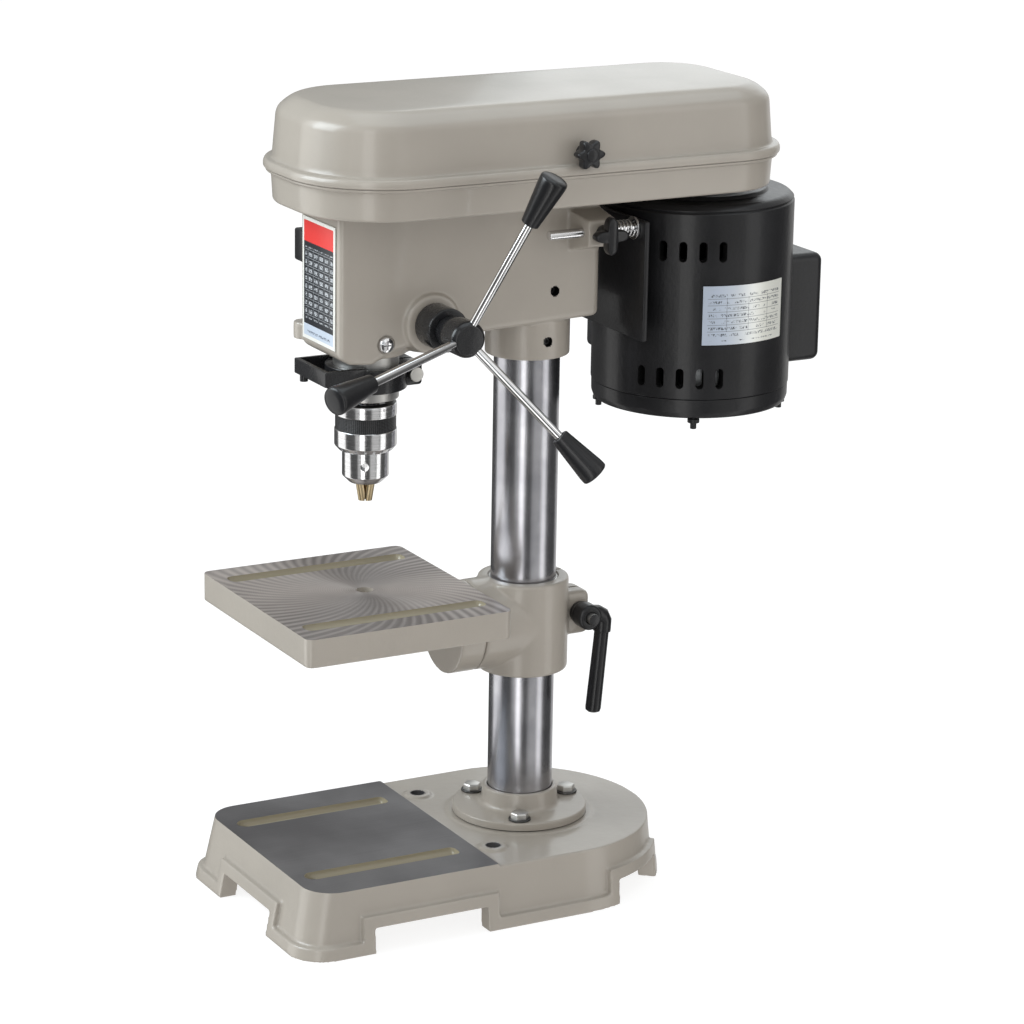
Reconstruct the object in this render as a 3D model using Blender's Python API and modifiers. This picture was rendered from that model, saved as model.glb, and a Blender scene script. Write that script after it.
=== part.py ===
"""Bench drill press: base, column, tilting table, head with rack feed, chuck, belt drive and motor."""
import bpy
import bmesh
from math import acos, atan2, cos, degrees, pi, radians, sin, sqrt, tan
from mathutils import Matrix, Vector

# ---- driving sizes, metres; the column axis is x = y = 0 of the press, front is -Y, bench is z = 0 ----
GAP = 0.0003                 # between neighbouring pieces
ROUNDNESS = 0.7              # share of the sides asked for below that a turned piece gets
COLUMN_X, COLUMN_Y = -0.0173, -0.0064   # where the column stands in the object's own frame

COLUMN_R = 0.0230
COLUMN_WALL = 0.0040
COLUMN_FOOT, COLUMN_TOP = 0.0448, 0.4700

BASE_HALF = 0.0917           # half width at the top
BASE_FRONT = 0.2047          # column axis to the front edge
BASE_TOP = 0.0452            # machined plate
BASE_DECK = 0.0434           # rear deck, just below the plate
BASE_DRAFT, BASE_FRONT_DRAFT = 0.0045, 0.0090
BASE_CORNER = 0.0220
BASE_WALL = 0.0090
LIP_H, LIP_OUT = 0.0090, 0.0025
PLATE_BACK = 0.0655
SLOT_X, SLOT_W, SLOT_D = 0.0555, 0.0100, 0.0050
SLOT_FRONT, SLOT_BACK = 0.1935, 0.0790
SLOT_HOLE_R = 0.0065
BENCH_X, BENCH_Y, BENCH_HOLE_R = 0.0580, 0.0520, 0.0050
FOOT_H = 0.0175
FRONT_NOTCH = 0.0380
SIDE_NOTCH_FRONT, SIDE_NOTCH_BACK = 0.1630, 0.0760
REAR_NOTCH, REAR_FOOT_ANGLE = 0.0300, 51.6

FLANGE_R, FLANGE_H = COLUMN_R + 0.0249, 0.0058
FLANGE_FOOT, FLANGE_TOP = 0.0445, 0.0639
FLANGE_BOLT_R, FLANGE_BOLTS = COLUMN_R + 0.0160, (332.0, 92.0, 212.0)
BOLT_R, BOLT_HEAD_R, BOLT_HEAD_H = 0.0035, 0.0065, 0.0050

TABLE_HALF, TABLE_FRONT, TABLE_BACK = 0.0865, 0.2080, 0.0543
TABLE_TOP, TABLE_H, TABLE_SKIN = 0.2246, 0.0200, 0.0095
TABLE_EDGE = 0.0070
TABLE_CORNER = 0.0050
TABLE_SLOT_X = 0.0610
TABLE_SLOT_FRONT, TABLE_SLOT_BACK, TABLE_SLOT_W, TABLE_SLOT_D = 0.1985, 0.0640, 0.0100, 0.0045
TABLE_HOLE_R = 0.0060
HUB_Z, HUB_R = 0.1885, 0.0320
HUB_FRONT, HUB_BACK = 0.0640, 0.0452

COLLAR_R, COLLAR_FOOT, COLLAR_TOP = COLUMN_R + 0.0088, 0.1527, 0.2197
ARM_FRONT = 0.0447
CLAMP_Y, CLAMP_Z = COLUMN_R + 0.0155, 0.1905
EAR_X, EAR_BACK, EAR_FOOT, EAR_TOP = 0.0125, CLAMP_Y + 0.0095, 0.1730, 0.2050
SLIT = 0.0024
LINER_T, RUNNING = 0.0012, 0.00008   # thin sleeve in the collar; clearance of what turns or slides

HEAD_HALF, HEAD_FRONT, HEAD_BACK, HEAD_TOP = 0.03125, 0.1584, 0.0391, 0.4945
HEAD_FOOT = ((-0.1584, 0.3970), (-0.1500, 0.3920), (-0.1330, 0.3905), (-0.1190, 0.3980),
             (-0.0950, 0.4025), (-0.0510, 0.4050), (0.0391, 0.4085))
HEAD_BOSS_R, HEAD_BOSS_FOOT = COLUMN_R + 0.0064, 0.3806
SPINDLE_Y, QUILL_R = -0.1240, 0.0225
FEED_Y, FEED_Z = SPINDLE_Y + QUILL_R + 0.0105, 0.4159
FEED_BOSS_R, FEED_BOSS_X = 0.0195, 0.0360
LUG_X, LUG_Y, LUG_R, LUG_FOOT, LUG_TOP = -0.0385, -0.1500, 0.0090, 0.3970, 0.4085

QUILL_FOOT, QUILL_TOP, QUILL_STROKE = 0.3620, 0.4780, 0.0500
SPINDLE_R, SPINDLE_TOP, SPINDLE_NOSE_R = 0.0085, 0.5560, 0.0066
PINION_TEETH, PINION_PITCH_R, PINION_HALF = 19, 0.0120, 0.0120
RACK_HALF, TOOTH_PLAY = 0.0135, 0.00045
QC_FOOT, QC_TOP, QC_R = 0.3690, 0.3855, QUILL_R + 0.0055
BAR_HALF, BAR_FRONT, BAR_FOOT, BAR_TOP, BAR_T = 0.0245, 0.1660, 0.3770, 0.3875, 0.0030
QC_BOLT_Y, QC_BOLT_Z = SPINDLE_Y + QUILL_R + 0.0073, 0.3775
QC_EAR_X, QC_EAR_BACK = 0.0135, QC_BOLT_Y + 0.0067

SLEEVE_R, SLEEVE_FOOT, SLEEVE_TOP, SLEEVE_BORE = 0.02135, 0.3253, 0.3596, 0.0144
BAND_FOOT, BAND_TOP = 0.3398, 0.3503
CHUCK_R, CHUCK_NOSE_R, CHUCK_NOSE, CHUCK_FOOT = 0.0160, 0.0110, 0.3023, 0.3065
CHUCK_TOP = 0.3570
JAW_TIP, JAW_TOP, JAW_R, JAW_TILT, JAW_IN = 0.2891, 0.3260, 0.0030, 10.0, 0.0019
JAW_TRAVEL = 0.0040
KEY_HOLE_R, KEY_HOLE_Z, KEY_ANGLE = 0.0028, 0.3160, -28.0

HUB_A_R, HUB_A_X0, HUB_A_X1 = 0.0150, 0.0363, 0.0570
HUB_B_R, HUB_B_X0, HUB_B_X1 = 0.0125, 0.0650, 0.0880
ARM_X, ARM_REACH, ARM_LEAN = 0.0807, 0.1270, 20.4
ARM_ANGLES = (189.9, 69.9, -50.1)
ROD_R, KNOB_L, KNOB_R0, KNOB_R1 = 0.0031, 0.0360, 0.0062, 0.0098

MB_HALF, MB_FRONT, MB_T, MB_FOOT, MB_TOP = 0.0590, 0.0573, 0.0040, 0.3940, 0.4775
MOTOR_R = 0.0701
MOTOR_Y = MB_FRONT + MB_T + MOTOR_R + 0.0004
MOTOR_FOOT, MOTOR_TOP, CAP_TOP, SEAM_Z = 0.3351, 0.4880, 0.3495, 0.4816
SHAFT_R, SHAFT_TOP = 0.0070, 0.5430
VENT_ANGLES, VENT_PITCH, VENT_W, VENT_H, VENT_D = -36.9, 11.4, 0.0056, 0.0145, 0.0040
VENT_LOW, VENT_HIGH = 0.3642, 0.4535
TIE_R, TIE_ANGLE = MOTOR_R - 0.0061, -28.0
PLATE_A, PLATE_B, PLATE_Z0, PLATE_Z1 = -25.0, 29.5, 0.3885, 0.4300
SLIDE_X, SLIDE_Z, SLIDE_R = 0.0450, 0.4712, 0.0034
SLIDE_FRONT, SLIDE_BACK = -0.0100, 0.0650
SLIDE_BOSS_X, SLIDE_BOSS_Y = 0.0530, 0.0170
MOTOR_TRAVEL = 0.0080

TUB_HALF, TUB_FRONT, TUB_BACK = 0.07255, 0.1818, MOTOR_Y + 0.0373
TUB_RF, TUB_RB = 0.0600, 0.0474
TUB_FOOT, TUB_TOP, TUB_WALL = 0.4949, 0.5172, 0.0018
LID_FOOT, LID_TOP, BEAD_TOP, BEAD_OUT = 0.5175, 0.5660, 0.5240, 0.0060
KNOB_Y, KNOB_Z, KNOB_R = -0.0015, 0.5325, 0.0105

PULLEY_FOOT, STEP_H = 0.4990, 0.0105
SPINDLE_STEPS = (0.0460, 0.0400, 0.0340, 0.0280)
MOTOR_STEPS = (0.0140, 0.0200, 0.0260, 0.0320)
BELT_STEP, GROOVE_D, BELT_W, BELT_T = 1, 0.0055, 0.0078, 0.0044



# ---- scene ----
for old in list(bpy.data.objects):
    bpy.data.objects.remove(old, do_unlink=True)

PRESS = bpy.data.collections.new("drill_press")
TOOLS = bpy.data.collections.new("cutters")
bpy.context.scene.collection.children.link(PRESS)
bpy.context.scene.collection.children.link(TOOLS)
TOOLS.hide_render = True

ROOT = bpy.data.objects.new("press_frame", None)
PRESS.objects.link(ROOT)
ROOT.location = (COLUMN_X, COLUMN_Y, 0)


def finish(name, colour, rough, metal=0.0, coat=0.0):
    """A plain surface colour."""
    mat = bpy.data.materials.new(name)
    mat.use_nodes = True
    shader = mat.node_tree.nodes["Principled BSDF"]
    shader.inputs["Base Color"].default_value = (*colour, 1)
    shader.inputs["Roughness"].default_value = rough
    shader.inputs["Metallic"].default_value = metal
    shader.inputs["Coat Weight"].default_value = coat
    return mat


ENAMEL = finish("warm_grey_enamel", (0.50, 0.46, 0.38), 0.35, 0.0, 0.3)
MACHINED = finish("machined_iron", (0.12, 0.12, 0.12), 0.45, 0.8)
CHROME = finish("bright_steel", (0.62, 0.63, 0.65), 0.18, 1.0)
STEEL = finish("zinc_steel", (0.48, 0.49, 0.50), 0.35, 1.0)
BLACK = finish("black_plastic", (0.015, 0.015, 0.016), 0.42)
SATIN = finish("satin_black_paint", (0.018, 0.018, 0.020), 0.38)
RUBBER = finish("belt_rubber", (0.02, 0.02, 0.02), 0.8)
ALLOY = finish("cast_alloy", (0.42, 0.42, 0.43), 0.4, 1.0)
CARBIDE = finish("jaw_steel", (0.45, 0.36, 0.22), 0.35, 1.0)
LABEL = finish("printed_label", (0.03, 0.03, 0.035), 0.35)
SILVER = finish("silver_label", (0.55, 0.57, 0.60), 0.35, 0.5)


def own(mat, name):
    """Each piece has its own copy of its finish."""
    copy = mat.copy()
    copy.name = name + "_finish"
    return copy


def place(name, mesh, mat=None, at=(0, 0, 0), turn=(0, 0, 0), parent=None):
    """One object of the press; without a finish it is a cutter."""
    obj = bpy.data.objects.new(name, mesh)
    (PRESS if mat else TOOLS).objects.link(obj)
    obj.parent = parent or ROOT
    obj.location = at
    obj.rotation_euler = turn
    if mat:
        mesh.materials.append(own(mat, name))
    else:
        obj.display_type = "WIRE"
        obj.hide_render = True
    return obj


def round_shading(mesh):
    """Smooth shading that keeps real corners crisp."""
    mesh.shade_smooth()
    mesh.set_sharp_from_angle(angle=radians(40))
    return mesh


def mesh_of(bm, name):
    bmesh.ops.recalc_face_normals(bm, faces=bm.faces[:])
    mesh = bpy.data.meshes.new(name)
    bm.to_mesh(mesh)
    bm.free()
    return mesh


def sides_of(count):
    return max(12, 4 * round(count * ROUNDNESS / 4))


def turned(name, profile, mat=None, at=(0, 0, 0), turn=(0, 0, 0), steps=32):
    """A profile of (radius, height), down its outer side, swept round Z. A ring's profile is closed."""
    closed = profile[0][0] > 1e-9
    bm = bmesh.new()
    points = [bm.verts.new((r, 0, z)) for r, z in profile]
    for a, b in zip(points, points[1:] + points[:1] if closed else points[1:]):
        bm.edges.new((a, b))
    mesh = bpy.data.meshes.new(name)
    bm.to_mesh(mesh)
    bm.free()
    obj = place(name, mesh, mat, at, turn)
    screw = obj.modifiers.new("turn", "SCREW")
    screw.steps = screw.render_steps = sides_of(steps)
    screw.use_merge_vertices = True
    screw.merge_threshold = 0.00002
    screw.use_smooth_shade = True
    return obj


def drum(name, radius, length, mat=None, at=(0, 0, 0), turn=(0, 0, 0), sides=32, top=None):
    """A cylinder or cone centred on `at`, along its own Z."""
    bm = bmesh.new()
    bmesh.ops.create_cone(bm, cap_ends=True, segments=sides if sides < 8 else sides_of(sides), radius1=radius,
                          radius2=radius if top is None else top, depth=length)
    return place(name, round_shading(mesh_of(bm, name)), mat, at, turn)


def block(name, low, high, mat=None, edge=0.0, steps=2):
    """A box between two corners, its edges rounded by `edge`."""
    bm = bmesh.new()
    bmesh.ops.create_cube(bm, size=1)
    mid = [(a + b) / 2 for a, b in zip(low, high)]
    bmesh.ops.scale(bm, vec=[b - a for a, b in zip(low, high)], verts=bm.verts[:])
    obj = place(name, mesh_of(bm, name), mat, mid)
    if edge:
        soften(obj, edge, steps)
    return obj


def soften(obj, width, steps=2, angle=30):
    bevel = obj.modifiers.new("round", "BEVEL")
    bevel.width = width
    bevel.segments = steps
    bevel.limit_method = "ANGLE"
    bevel.angle_limit = radians(angle)
    return obj


def prism(name, outline, low, high, axis="Z", mat=None):
    """A flat outline pushed along an axis: (x, y) for Z, (y, z) for X, (x, z) for Y."""
    spots = {"Z": lambda p, h: (p[0], p[1], h), "X": lambda p, h: (h, p[0], p[1]),
             "Y": lambda p, h: (p[0], h, p[1])}[axis]
    return loft(name, [[spots(p, h) for p in outline] for h in (low, high)], mat)


def loft(name, rings, mat=None):
    """Closed skin through rings of equal count."""
    bm = bmesh.new()
    rows = [[bm.verts.new(p) for p in ring] for ring in rings]
    for one, two in zip(rows, rows[1:]):
        for i in range(len(one)):
            j = (i + 1) % len(one)
            bm.faces.new((one[i], one[j], two[j], two[i]))
    bm.faces.new(rows[0][::-1])
    bm.faces.new(rows[-1])
    return place(name, round_shading(mesh_of(bm, name)), mat)


def boolean(obj, kind, others):
    for other in others:
        step = obj.modifiers.new(kind.lower(), "BOOLEAN")
        step.operation = kind
        step.solver = "EXACT"
        step.object = other
    return obj


def carve(obj, *others):
    return boolean(obj, "DIFFERENCE", others)


def fuse(obj, *others):
    return boolean(obj, "UNION", others)


def keep(obj, *others):
    return boolean(obj, "INTERSECT", others)


def arc(cx, cy, r, a, b, n):
    return [(cx + r * cos(radians(a + (b - a) * i / n)), cy + r * sin(radians(a + (b - a) * i / n)))
            for i in range(n + 1)]


ALONG_X = (0, pi / 2, 0)
ALONG_Y = (-pi / 2, 0, 0)


# ---- base ----
def base_outline(grow, front_grow, corner):
    half, front = BASE_HALF + grow, BASE_FRONT + front_grow
    return (arc(0, 0, half, 0, 180, 28)
            + arc(-half + corner, -front + corner, corner, 180, 270, 6)
            + arc(half - corner, -front + corner, corner, 270, 360, 6))


def base_loft(name, extra, z0, z1, mat=None, corner=BASE_CORNER):
    """The base's drafted shape between two heights, `extra` fatter all round."""
    rings = []
    for z in (z0, z1):
        share = 1 - z / BASE_TOP
        outline = base_outline(extra + BASE_DRAFT * share, extra + BASE_FRONT_DRAFT * share, corner + extra)
        rings.append([(x, y, z) for x, y in outline])
    return loft(name, rings, mat)


def notches(tag, grow):
    """The gaps between the feet, `grow` wider for the lip above them."""
    top = FOOT_H + grow
    low = -0.004
    rear = radians(REAR_FOOT_ANGLE)
    side = Vector((-sin(rear), cos(rear))) * grow
    wedge = [(0.050, REAR_NOTCH - grow), (0.150, REAR_NOTCH - grow),
             (0.240 * cos(rear) + side.x, 0.240 * sin(rear) + side.y),
             (0.066 * cos(rear) + side.x, 0.066 * sin(rear) + side.y)]
    front = block(f"front_notch_{tag}", (-FRONT_NOTCH - grow, -0.26, low), (FRONT_NOTCH + grow, -0.185, top))
    sides = block(f"side_notch_{tag}", (-0.12, -SIDE_NOTCH_FRONT - grow, low),
                  (0.12, -SIDE_NOTCH_BACK + grow, top))
    right = prism(f"rear_notch_r_{tag}", wedge, low, top)
    left = prism(f"rear_notch_l_{tag}", [(-x, y) for x, y in wedge[::-1]], low, top)
    return front, sides, right, left


base = base_loft("base", 0.0, 0.0, BASE_TOP, ENAMEL)
lip = base_loft("base_lip", LIP_OUT, 0.0, BASE_TOP * 0.7)
lip_zone = block("lip_zone", (-0.13, -0.26, -0.004), (0.13, 0.13, LIP_H))
fuse(lip_zone, *notches("lip", LIP_H))
keep(lip, lip_zone)
fuse(base, lip)
deck_cut = block("deck_cut", (-0.13, -PLATE_BACK, BASE_DECK), (0.13, 0.13, BASE_TOP + 0.01))
carve(base, deck_cut)
hollow = base_loft("base_hollow", -BASE_WALL, -0.004, BASE_DECK - BASE_WALL, None, BASE_CORNER)
column_core = drum("column_core", FLANGE_R, 0.060, None, (0, 0, 0.034), sides=40)
carve(hollow, column_core)
carve(base, hollow, *notches("gap", 0.0))
fuse(base, drum("flange_pad", FLANGE_R + 0.006, FLANGE_FOOT - GAP - BASE_DECK + 0.006, None,
                (0, 0, (FLANGE_FOOT - GAP + BASE_DECK - 0.006) / 2), sides=48, top=FLANGE_R + 0.004))
carve(base, block("core_foot", (-0.06, -0.06, -0.01), (0.06, 0.06, 0.020)))
for side, tag in ((-1, "l"), (1, "r")):
    fuse(base, drum(f"bench_boss_{tag}", 0.0100, 0.006, None,
                    (side * BENCH_X, -BENCH_Y, BASE_DECK - 0.0016), sides=20, top=0.0090))
    carve(base, drum(f"bench_hole_{tag}", BENCH_HOLE_R, 0.08, None, (side * BENCH_X, -BENCH_Y, 0.03), sides=20))
    slot = block(f"base_slot_{tag}", (side * SLOT_X - SLOT_W / 2, -SLOT_FRONT, BASE_TOP - SLOT_D),
                 (side * SLOT_X + SLOT_W / 2, -SLOT_BACK, BASE_TOP + 0.02))
    soften(slot, SLOT_W / 2 - 0.0005, 3)
    carve(base, slot, drum(f"slot_hole_{tag}", SLOT_HOLE_R, 0.08, None,
                           (side * SLOT_X, -SLOT_FRONT + 0.004, 0.03), sides=20))
for index, angle in enumerate(FLANGE_BOLTS):
    spot = (FLANGE_BOLT_R * cos(radians(angle)), FLANGE_BOLT_R * sin(radians(angle)))
    carve(base, drum(f"flange_thread_{index}", BOLT_R + GAP, 0.044, None, (*spot, 0.046), sides=16))


# ---- column and its flange ----
def hexagon(name, radius, length, mat, at, turn=(0, 0, 0)):
    return drum(name, radius, length, mat, at, turn, sides=6)


bore = COLUMN_R + GAP
flange = turned("column_flange", [
    (COLUMN_R + 0.0032, FLANGE_TOP), (COLUMN_R + 0.0038, FLANGE_TOP - 0.0015),
    (COLUMN_R + 0.0050, FLANGE_FOOT + FLANGE_H + 0.0030), (COLUMN_R + 0.0072, FLANGE_FOOT + FLANGE_H), (FLANGE_R - 0.0015, FLANGE_FOOT + FLANGE_H),
    (FLANGE_R, FLANGE_FOOT + FLANGE_H - 0.0015), (FLANGE_R, FLANGE_FOOT), (bore, FLANGE_FOOT),
    (bore, FLANGE_TOP - 0.0010), (bore + 0.0010, FLANGE_TOP)], ENAMEL, steps=48)
turned("column", [
    (COLUMN_R - 0.001, COLUMN_TOP), (COLUMN_R, COLUMN_TOP - 0.001), (COLUMN_R, COLUMN_FOOT),
    (COLUMN_R - COLUMN_WALL, COLUMN_FOOT), (COLUMN_R - COLUMN_WALL, COLUMN_TOP)], CHROME, steps=48)
for index, angle in enumerate(FLANGE_BOLTS):
    x, y = FLANGE_BOLT_R * cos(radians(angle)), FLANGE_BOLT_R * sin(radians(angle))
    seat = FLANGE_FOOT + FLANGE_H + GAP
    carve(flange, drum(f"flange_hole_{index}", BOLT_R + GAP, 0.03, None, (x, y, seat), sides=16))
    bolt = turned(f"flange_bolt_{index + 1}", [
        (0, seat + 0.0010), (BOLT_HEAD_R + 0.0013, seat + 0.0010), (BOLT_HEAD_R + 0.0015, seat + 0.0008),
        (BOLT_HEAD_R + 0.0015, seat), (BOLT_R, seat), (BOLT_R, 0.030), (0, 0.030)], STEEL, (x, y, 0), steps=24)
    fuse(bolt, hexagon(f"hex_head_{index}", BOLT_HEAD_R, BOLT_HEAD_H, None, (x, y, seat + BOLT_HEAD_H / 2 + 0.0004),
                       (0, 0, radians(15))))

# ---- table and its bracket ----
bracket = turned("table_bracket", [
    (0, COLLAR_TOP), (COLLAR_R - 0.0015, COLLAR_TOP), (COLLAR_R, COLLAR_TOP - 0.0015),
    (COLLAR_R, COLLAR_FOOT + 0.0015), (COLLAR_R - 0.0015, COLLAR_FOOT), (0, COLLAR_FOOT)], ENAMEL, steps=48)
arm = turned("bracket_arm", [
    (0, 0.0030), (HUB_R, 0.0030), (HUB_R, -ARM_FRONT + 0.0012), (HUB_R - 0.0012, -ARM_FRONT), (0, -ARM_FRONT)],
    None, (0, 0, HUB_Z), ALONG_Y, 44)
ears = block("bracket_ears", (-EAR_X, 0.020, EAR_FOOT), (EAR_X, EAR_BACK, EAR_TOP))
soften(ears, 0.0050, 3)
fuse(bracket, arm, ears)
liner_r = COLUMN_R + RUNNING + LINER_T
carve(bracket, drum("column_way", liner_r + RUNNING, 0.12, None, (0, 0, 0.186), sides=96),
      drum("column_way_top", liner_r - 0.001, 0.004, None, (0, 0, COLLAR_TOP), sides=96, top=liner_r + 0.002),
      block("bracket_slit", (-SLIT / 2, 0.010, 0.14), (SLIT / 2, 0.06, 0.23)),
      drum("clamp_way", 0.0043, 0.08, None, (0, CLAMP_Y, CLAMP_Z), ALONG_X, sides=16),
      drum("tilt_way", 0.0053, 0.016, None, (0, -ARM_FRONT + 0.007, HUB_Z), ALONG_Y, sides=20))

turned("bracket_liner", [
    (liner_r, COLLAR_TOP - 0.001), (liner_r, COLLAR_FOOT + 0.001), (COLUMN_R + RUNNING, COLLAR_FOOT + 0.001),
    (COLUMN_R + RUNNING, COLLAR_TOP - 0.001)], STEEL, steps=96)

turned("clamp_screw", [
    (0, 0.0360), (0.0030, 0.0360), (0.0040, 0.0350), (0.0040, -0.0128), (0.0075, -0.0128),
    (0.0075, -0.0178), (0, -0.0178)], STEEL, (0, CLAMP_Y, CLAMP_Z), ALONG_X, 20)
lever = turned("clamp_lever", [
    (0.0043, 0.0310), (0.0075, 0.0310), (0.0092, 0.0295), (0.0092, 0.0190), (0.0082, 0.0170),
    (0.0082, 0.0135), (0.0043, 0.0135)], BLACK, (0, CLAMP_Y, CLAMP_Z), ALONG_X, 24)


def tube_between(name, a, b, r0, r1, sides=16):
    a, b = Vector(a), Vector(b)
    line = b - a
    turn = line.to_track_quat("Z", "Y").to_euler()
    return drum(name, r0, line.length, None, (a + b) / 2, turn, sides, r1)


LEVER_X = 0.0240
elbow = (LEVER_X, CLAMP_Y + 0.0140, CLAMP_Z - 0.0030)
fuse(lever, tube_between("lever_neck", (LEVER_X, CLAMP_Y + 0.006, CLAMP_Z - 0.001), elbow, 0.0058, 0.0056),
     tube_between("lever_grip", (elbow[0], elbow[1] - 0.0005, elbow[2] + 0.0055),
                  (LEVER_X, CLAMP_Y + 0.0065, 0.1185), 0.0052, 0.0060))

half, front, back, edge = TABLE_HALF, -TABLE_FRONT, -TABLE_BACK, TABLE_CORNER
table = prism("table", arc(half - edge, back - edge, edge, 0, 90, 3)
              + arc(-half + edge, back - edge, edge, 90, 180, 3)
              + arc(-half + edge, front + edge, edge, 180, 270, 3)
              + arc(half - edge, front + edge, edge, 270, 360, 3), TABLE_TOP - TABLE_H, TABLE_TOP, "Z", ENAMEL)
carve(table, block("table_hollow", (-TABLE_HALF + TABLE_EDGE, -TABLE_FRONT + TABLE_EDGE, TABLE_TOP - TABLE_H - 0.01),
                   (TABLE_HALF - TABLE_EDGE, -TABLE_BACK - TABLE_EDGE, TABLE_TOP - TABLE_SKIN)))
hub = drum("table_hub", HUB_R, HUB_FRONT - HUB_BACK, None, (0, -(HUB_FRONT + HUB_BACK) / 2, HUB_Z), ALONG_Y, 48)
keep(hub, block("hub_zone", (-0.05, -0.10, 0.10), (0.05, 0.0, TABLE_TOP - 0.0004)))
rib = block("table_rib", (-0.0045, -TABLE_FRONT + 0.004, TABLE_TOP - TABLE_H + 0.002),
            (0.0045, -TABLE_BACK - 0.004, TABLE_TOP - TABLE_SKIN + 0.002))
fuse(table, rib, hub)
for x, tag in ((-TABLE_SLOT_X, "l"), (TABLE_SLOT_X, "r")):
    slot = block(f"table_slot_{tag}", (x - TABLE_SLOT_W / 2, -TABLE_SLOT_FRONT, TABLE_TOP - TABLE_SLOT_D),
                 (x + TABLE_SLOT_W / 2, -TABLE_SLOT_BACK, TABLE_TOP + 0.02))
    carve(table, soften(slot, TABLE_SLOT_W / 2 - 0.0005, 3))
carve(table, drum("table_hole", TABLE_HOLE_R, 0.05, None, (0, SPINDLE_Y, TABLE_TOP), sides=24),
      drum("tilt_hole", 0.0053, 0.03, None, (0, -(HUB_FRONT + HUB_BACK) / 2, HUB_Z), ALONG_Y, sides=20))
turned("tilt_bolt", [
    (0, HUB_FRONT - 0.030), (0.0050, HUB_FRONT - 0.030), (0.0050, 0), (0.0090, 0), (0.0090, -0.0065),
    (0, -0.0065)], STEEL, (0, -HUB_FRONT - GAP, HUB_Z), ALONG_Y, 12)

# ---- head casting ----
head = prism("head", [*HEAD_FOOT, (HEAD_BACK, HEAD_TOP), (-HEAD_FRONT, HEAD_TOP)], -HEAD_HALF, HEAD_HALF, "X", ENAMEL)
soften(head, 0.0040, 3, 50)
fuse(head, drum("column_boss", HEAD_BOSS_R, 0.06, None, (0, 0, HEAD_BOSS_FOOT + 0.03), sides=48),
     drum("quill_boss", min(QUILL_R + 0.0060, HEAD_HALF - 0.0027), 0.02, None, (0, SPINDLE_Y, 0.3935 + 0.010), sides=40),
     drum("feed_boss_cast", FEED_BOSS_R + 0.003, 0.02, None, (FEED_BOSS_X - 0.010, FEED_Y, FEED_Z), ALONG_X, 40,
          FEED_BOSS_R),
     drum("stop_lug", LUG_R, LUG_TOP - LUG_FOOT, None, (LUG_X, LUG_Y, (LUG_TOP + LUG_FOOT) / 2), sides=24),
     block("lug_web", (LUG_X, LUG_Y - 0.006, LUG_FOOT), (-0.025, LUG_Y + 0.009, LUG_TOP)))
for side, tag in ((-1, "l"), (1, "r")):
    near, far = side * 0.028, side * SLIDE_BOSS_X
    ear = loft(f"slide_boss_{tag}", [
        [(near, SLIDE_BOSS_Y - 0.004, SLIDE_Z - 0.015), (near, HEAD_BACK - 0.0005, SLIDE_Z - 0.015),
         (near, HEAD_BACK - 0.0005, SLIDE_Z + 0.014), (near, SLIDE_BOSS_Y - 0.004, SLIDE_Z + 0.014)],
        [(far, SLIDE_BOSS_Y, SLIDE_Z - 0.009), (far, HEAD_BACK - 0.0005, SLIDE_Z - 0.009),
         (far, HEAD_BACK - 0.0005, SLIDE_Z + 0.009), (far, SLIDE_BOSS_Y, SLIDE_Z + 0.009)]])
    fuse(head, ear)
    carve(head, drum(f"slide_way_{tag}", SLIDE_R + 0.00008, 0.08, None, (side * SLIDE_X, 0.03, SLIDE_Z), ALONG_Y, 20))
QUILL_WAY = QUILL_R + 0.0001
carve(head, drum("column_socket", bore, 0.200, None, (0, 0, COLUMN_TOP - 0.0985), sides=48),
      drum("quill_way", QUILL_WAY, 0.20, None, (0, SPINDLE_Y, 0.45), sides=48),
      drum("pinion_way", PINION_PITCH_R + 0.0018, 0.12, None, (0, FEED_Y, FEED_Z), ALONG_X, 32),
      drum("lug_hole", 0.0030, 0.03, None, (LUG_X - 0.001, LUG_Y, LUG_TOP), sides=12),
      drum("lock_way", 0.0026, 0.02, None, (SLIDE_BOSS_X, 0.0280, SLIDE_Z), ALONG_X, 12),
      block("head_hollow", (-0.0230, -0.0790, 0.4380), (0.0230, -0.0370, 0.50)),
      drum("gib_way", 0.0028, 0.03, None, (0.0250, SPINDLE_Y - 0.0006, 0.4041), ALONG_X, 12))
SET_SCREWS = ((0.0037, 0.4290, HEAD_HALF), (0.0002, 0.3935, HEAD_BOSS_R))
for index, (y, z, face) in enumerate(SET_SCREWS):
    carve(head, drum(f"set_hole_{index}", 0.0033, face - COLUMN_R + 0.0115, None,
                     ((face + COLUMN_R + 0.0065) / 2, y, z), ALONG_X, 16))
    drum(f"column_set_screw_{index + 1}", 0.0030, 0.0028, STEEL, (COLUMN_R + GAP + 0.0016, y, z), ALONG_X, 16)
turned("gib_screw", [
    (0, 0.0030), (0.0030, 0.0029), (0.0050, 0.0020), (0.0056, 0.0003), (0.0025, 0.0003),
    (0.0025, QUILL_R + 0.00095 - HEAD_HALF), (0, QUILL_R + 0.00095 - HEAD_HALF)], CHROME, (HEAD_HALF, SPINDLE_Y - 0.0006, 0.4041), ALONG_X, 20)
gib = bpy.data.objects["gib_screw"]
for index, size in enumerate(((0.0004, 0.0028), (0.0028, 0.0004))):
    carve(gib, block(f"cross_{index}", (HEAD_HALF + 0.0014, SPINDLE_Y - 0.0006 - size[0], 0.4041 - size[1]),
                     (HEAD_HALF + 0.01, SPINDLE_Y - 0.0006 + size[0], 0.4041 + size[1])))

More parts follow.
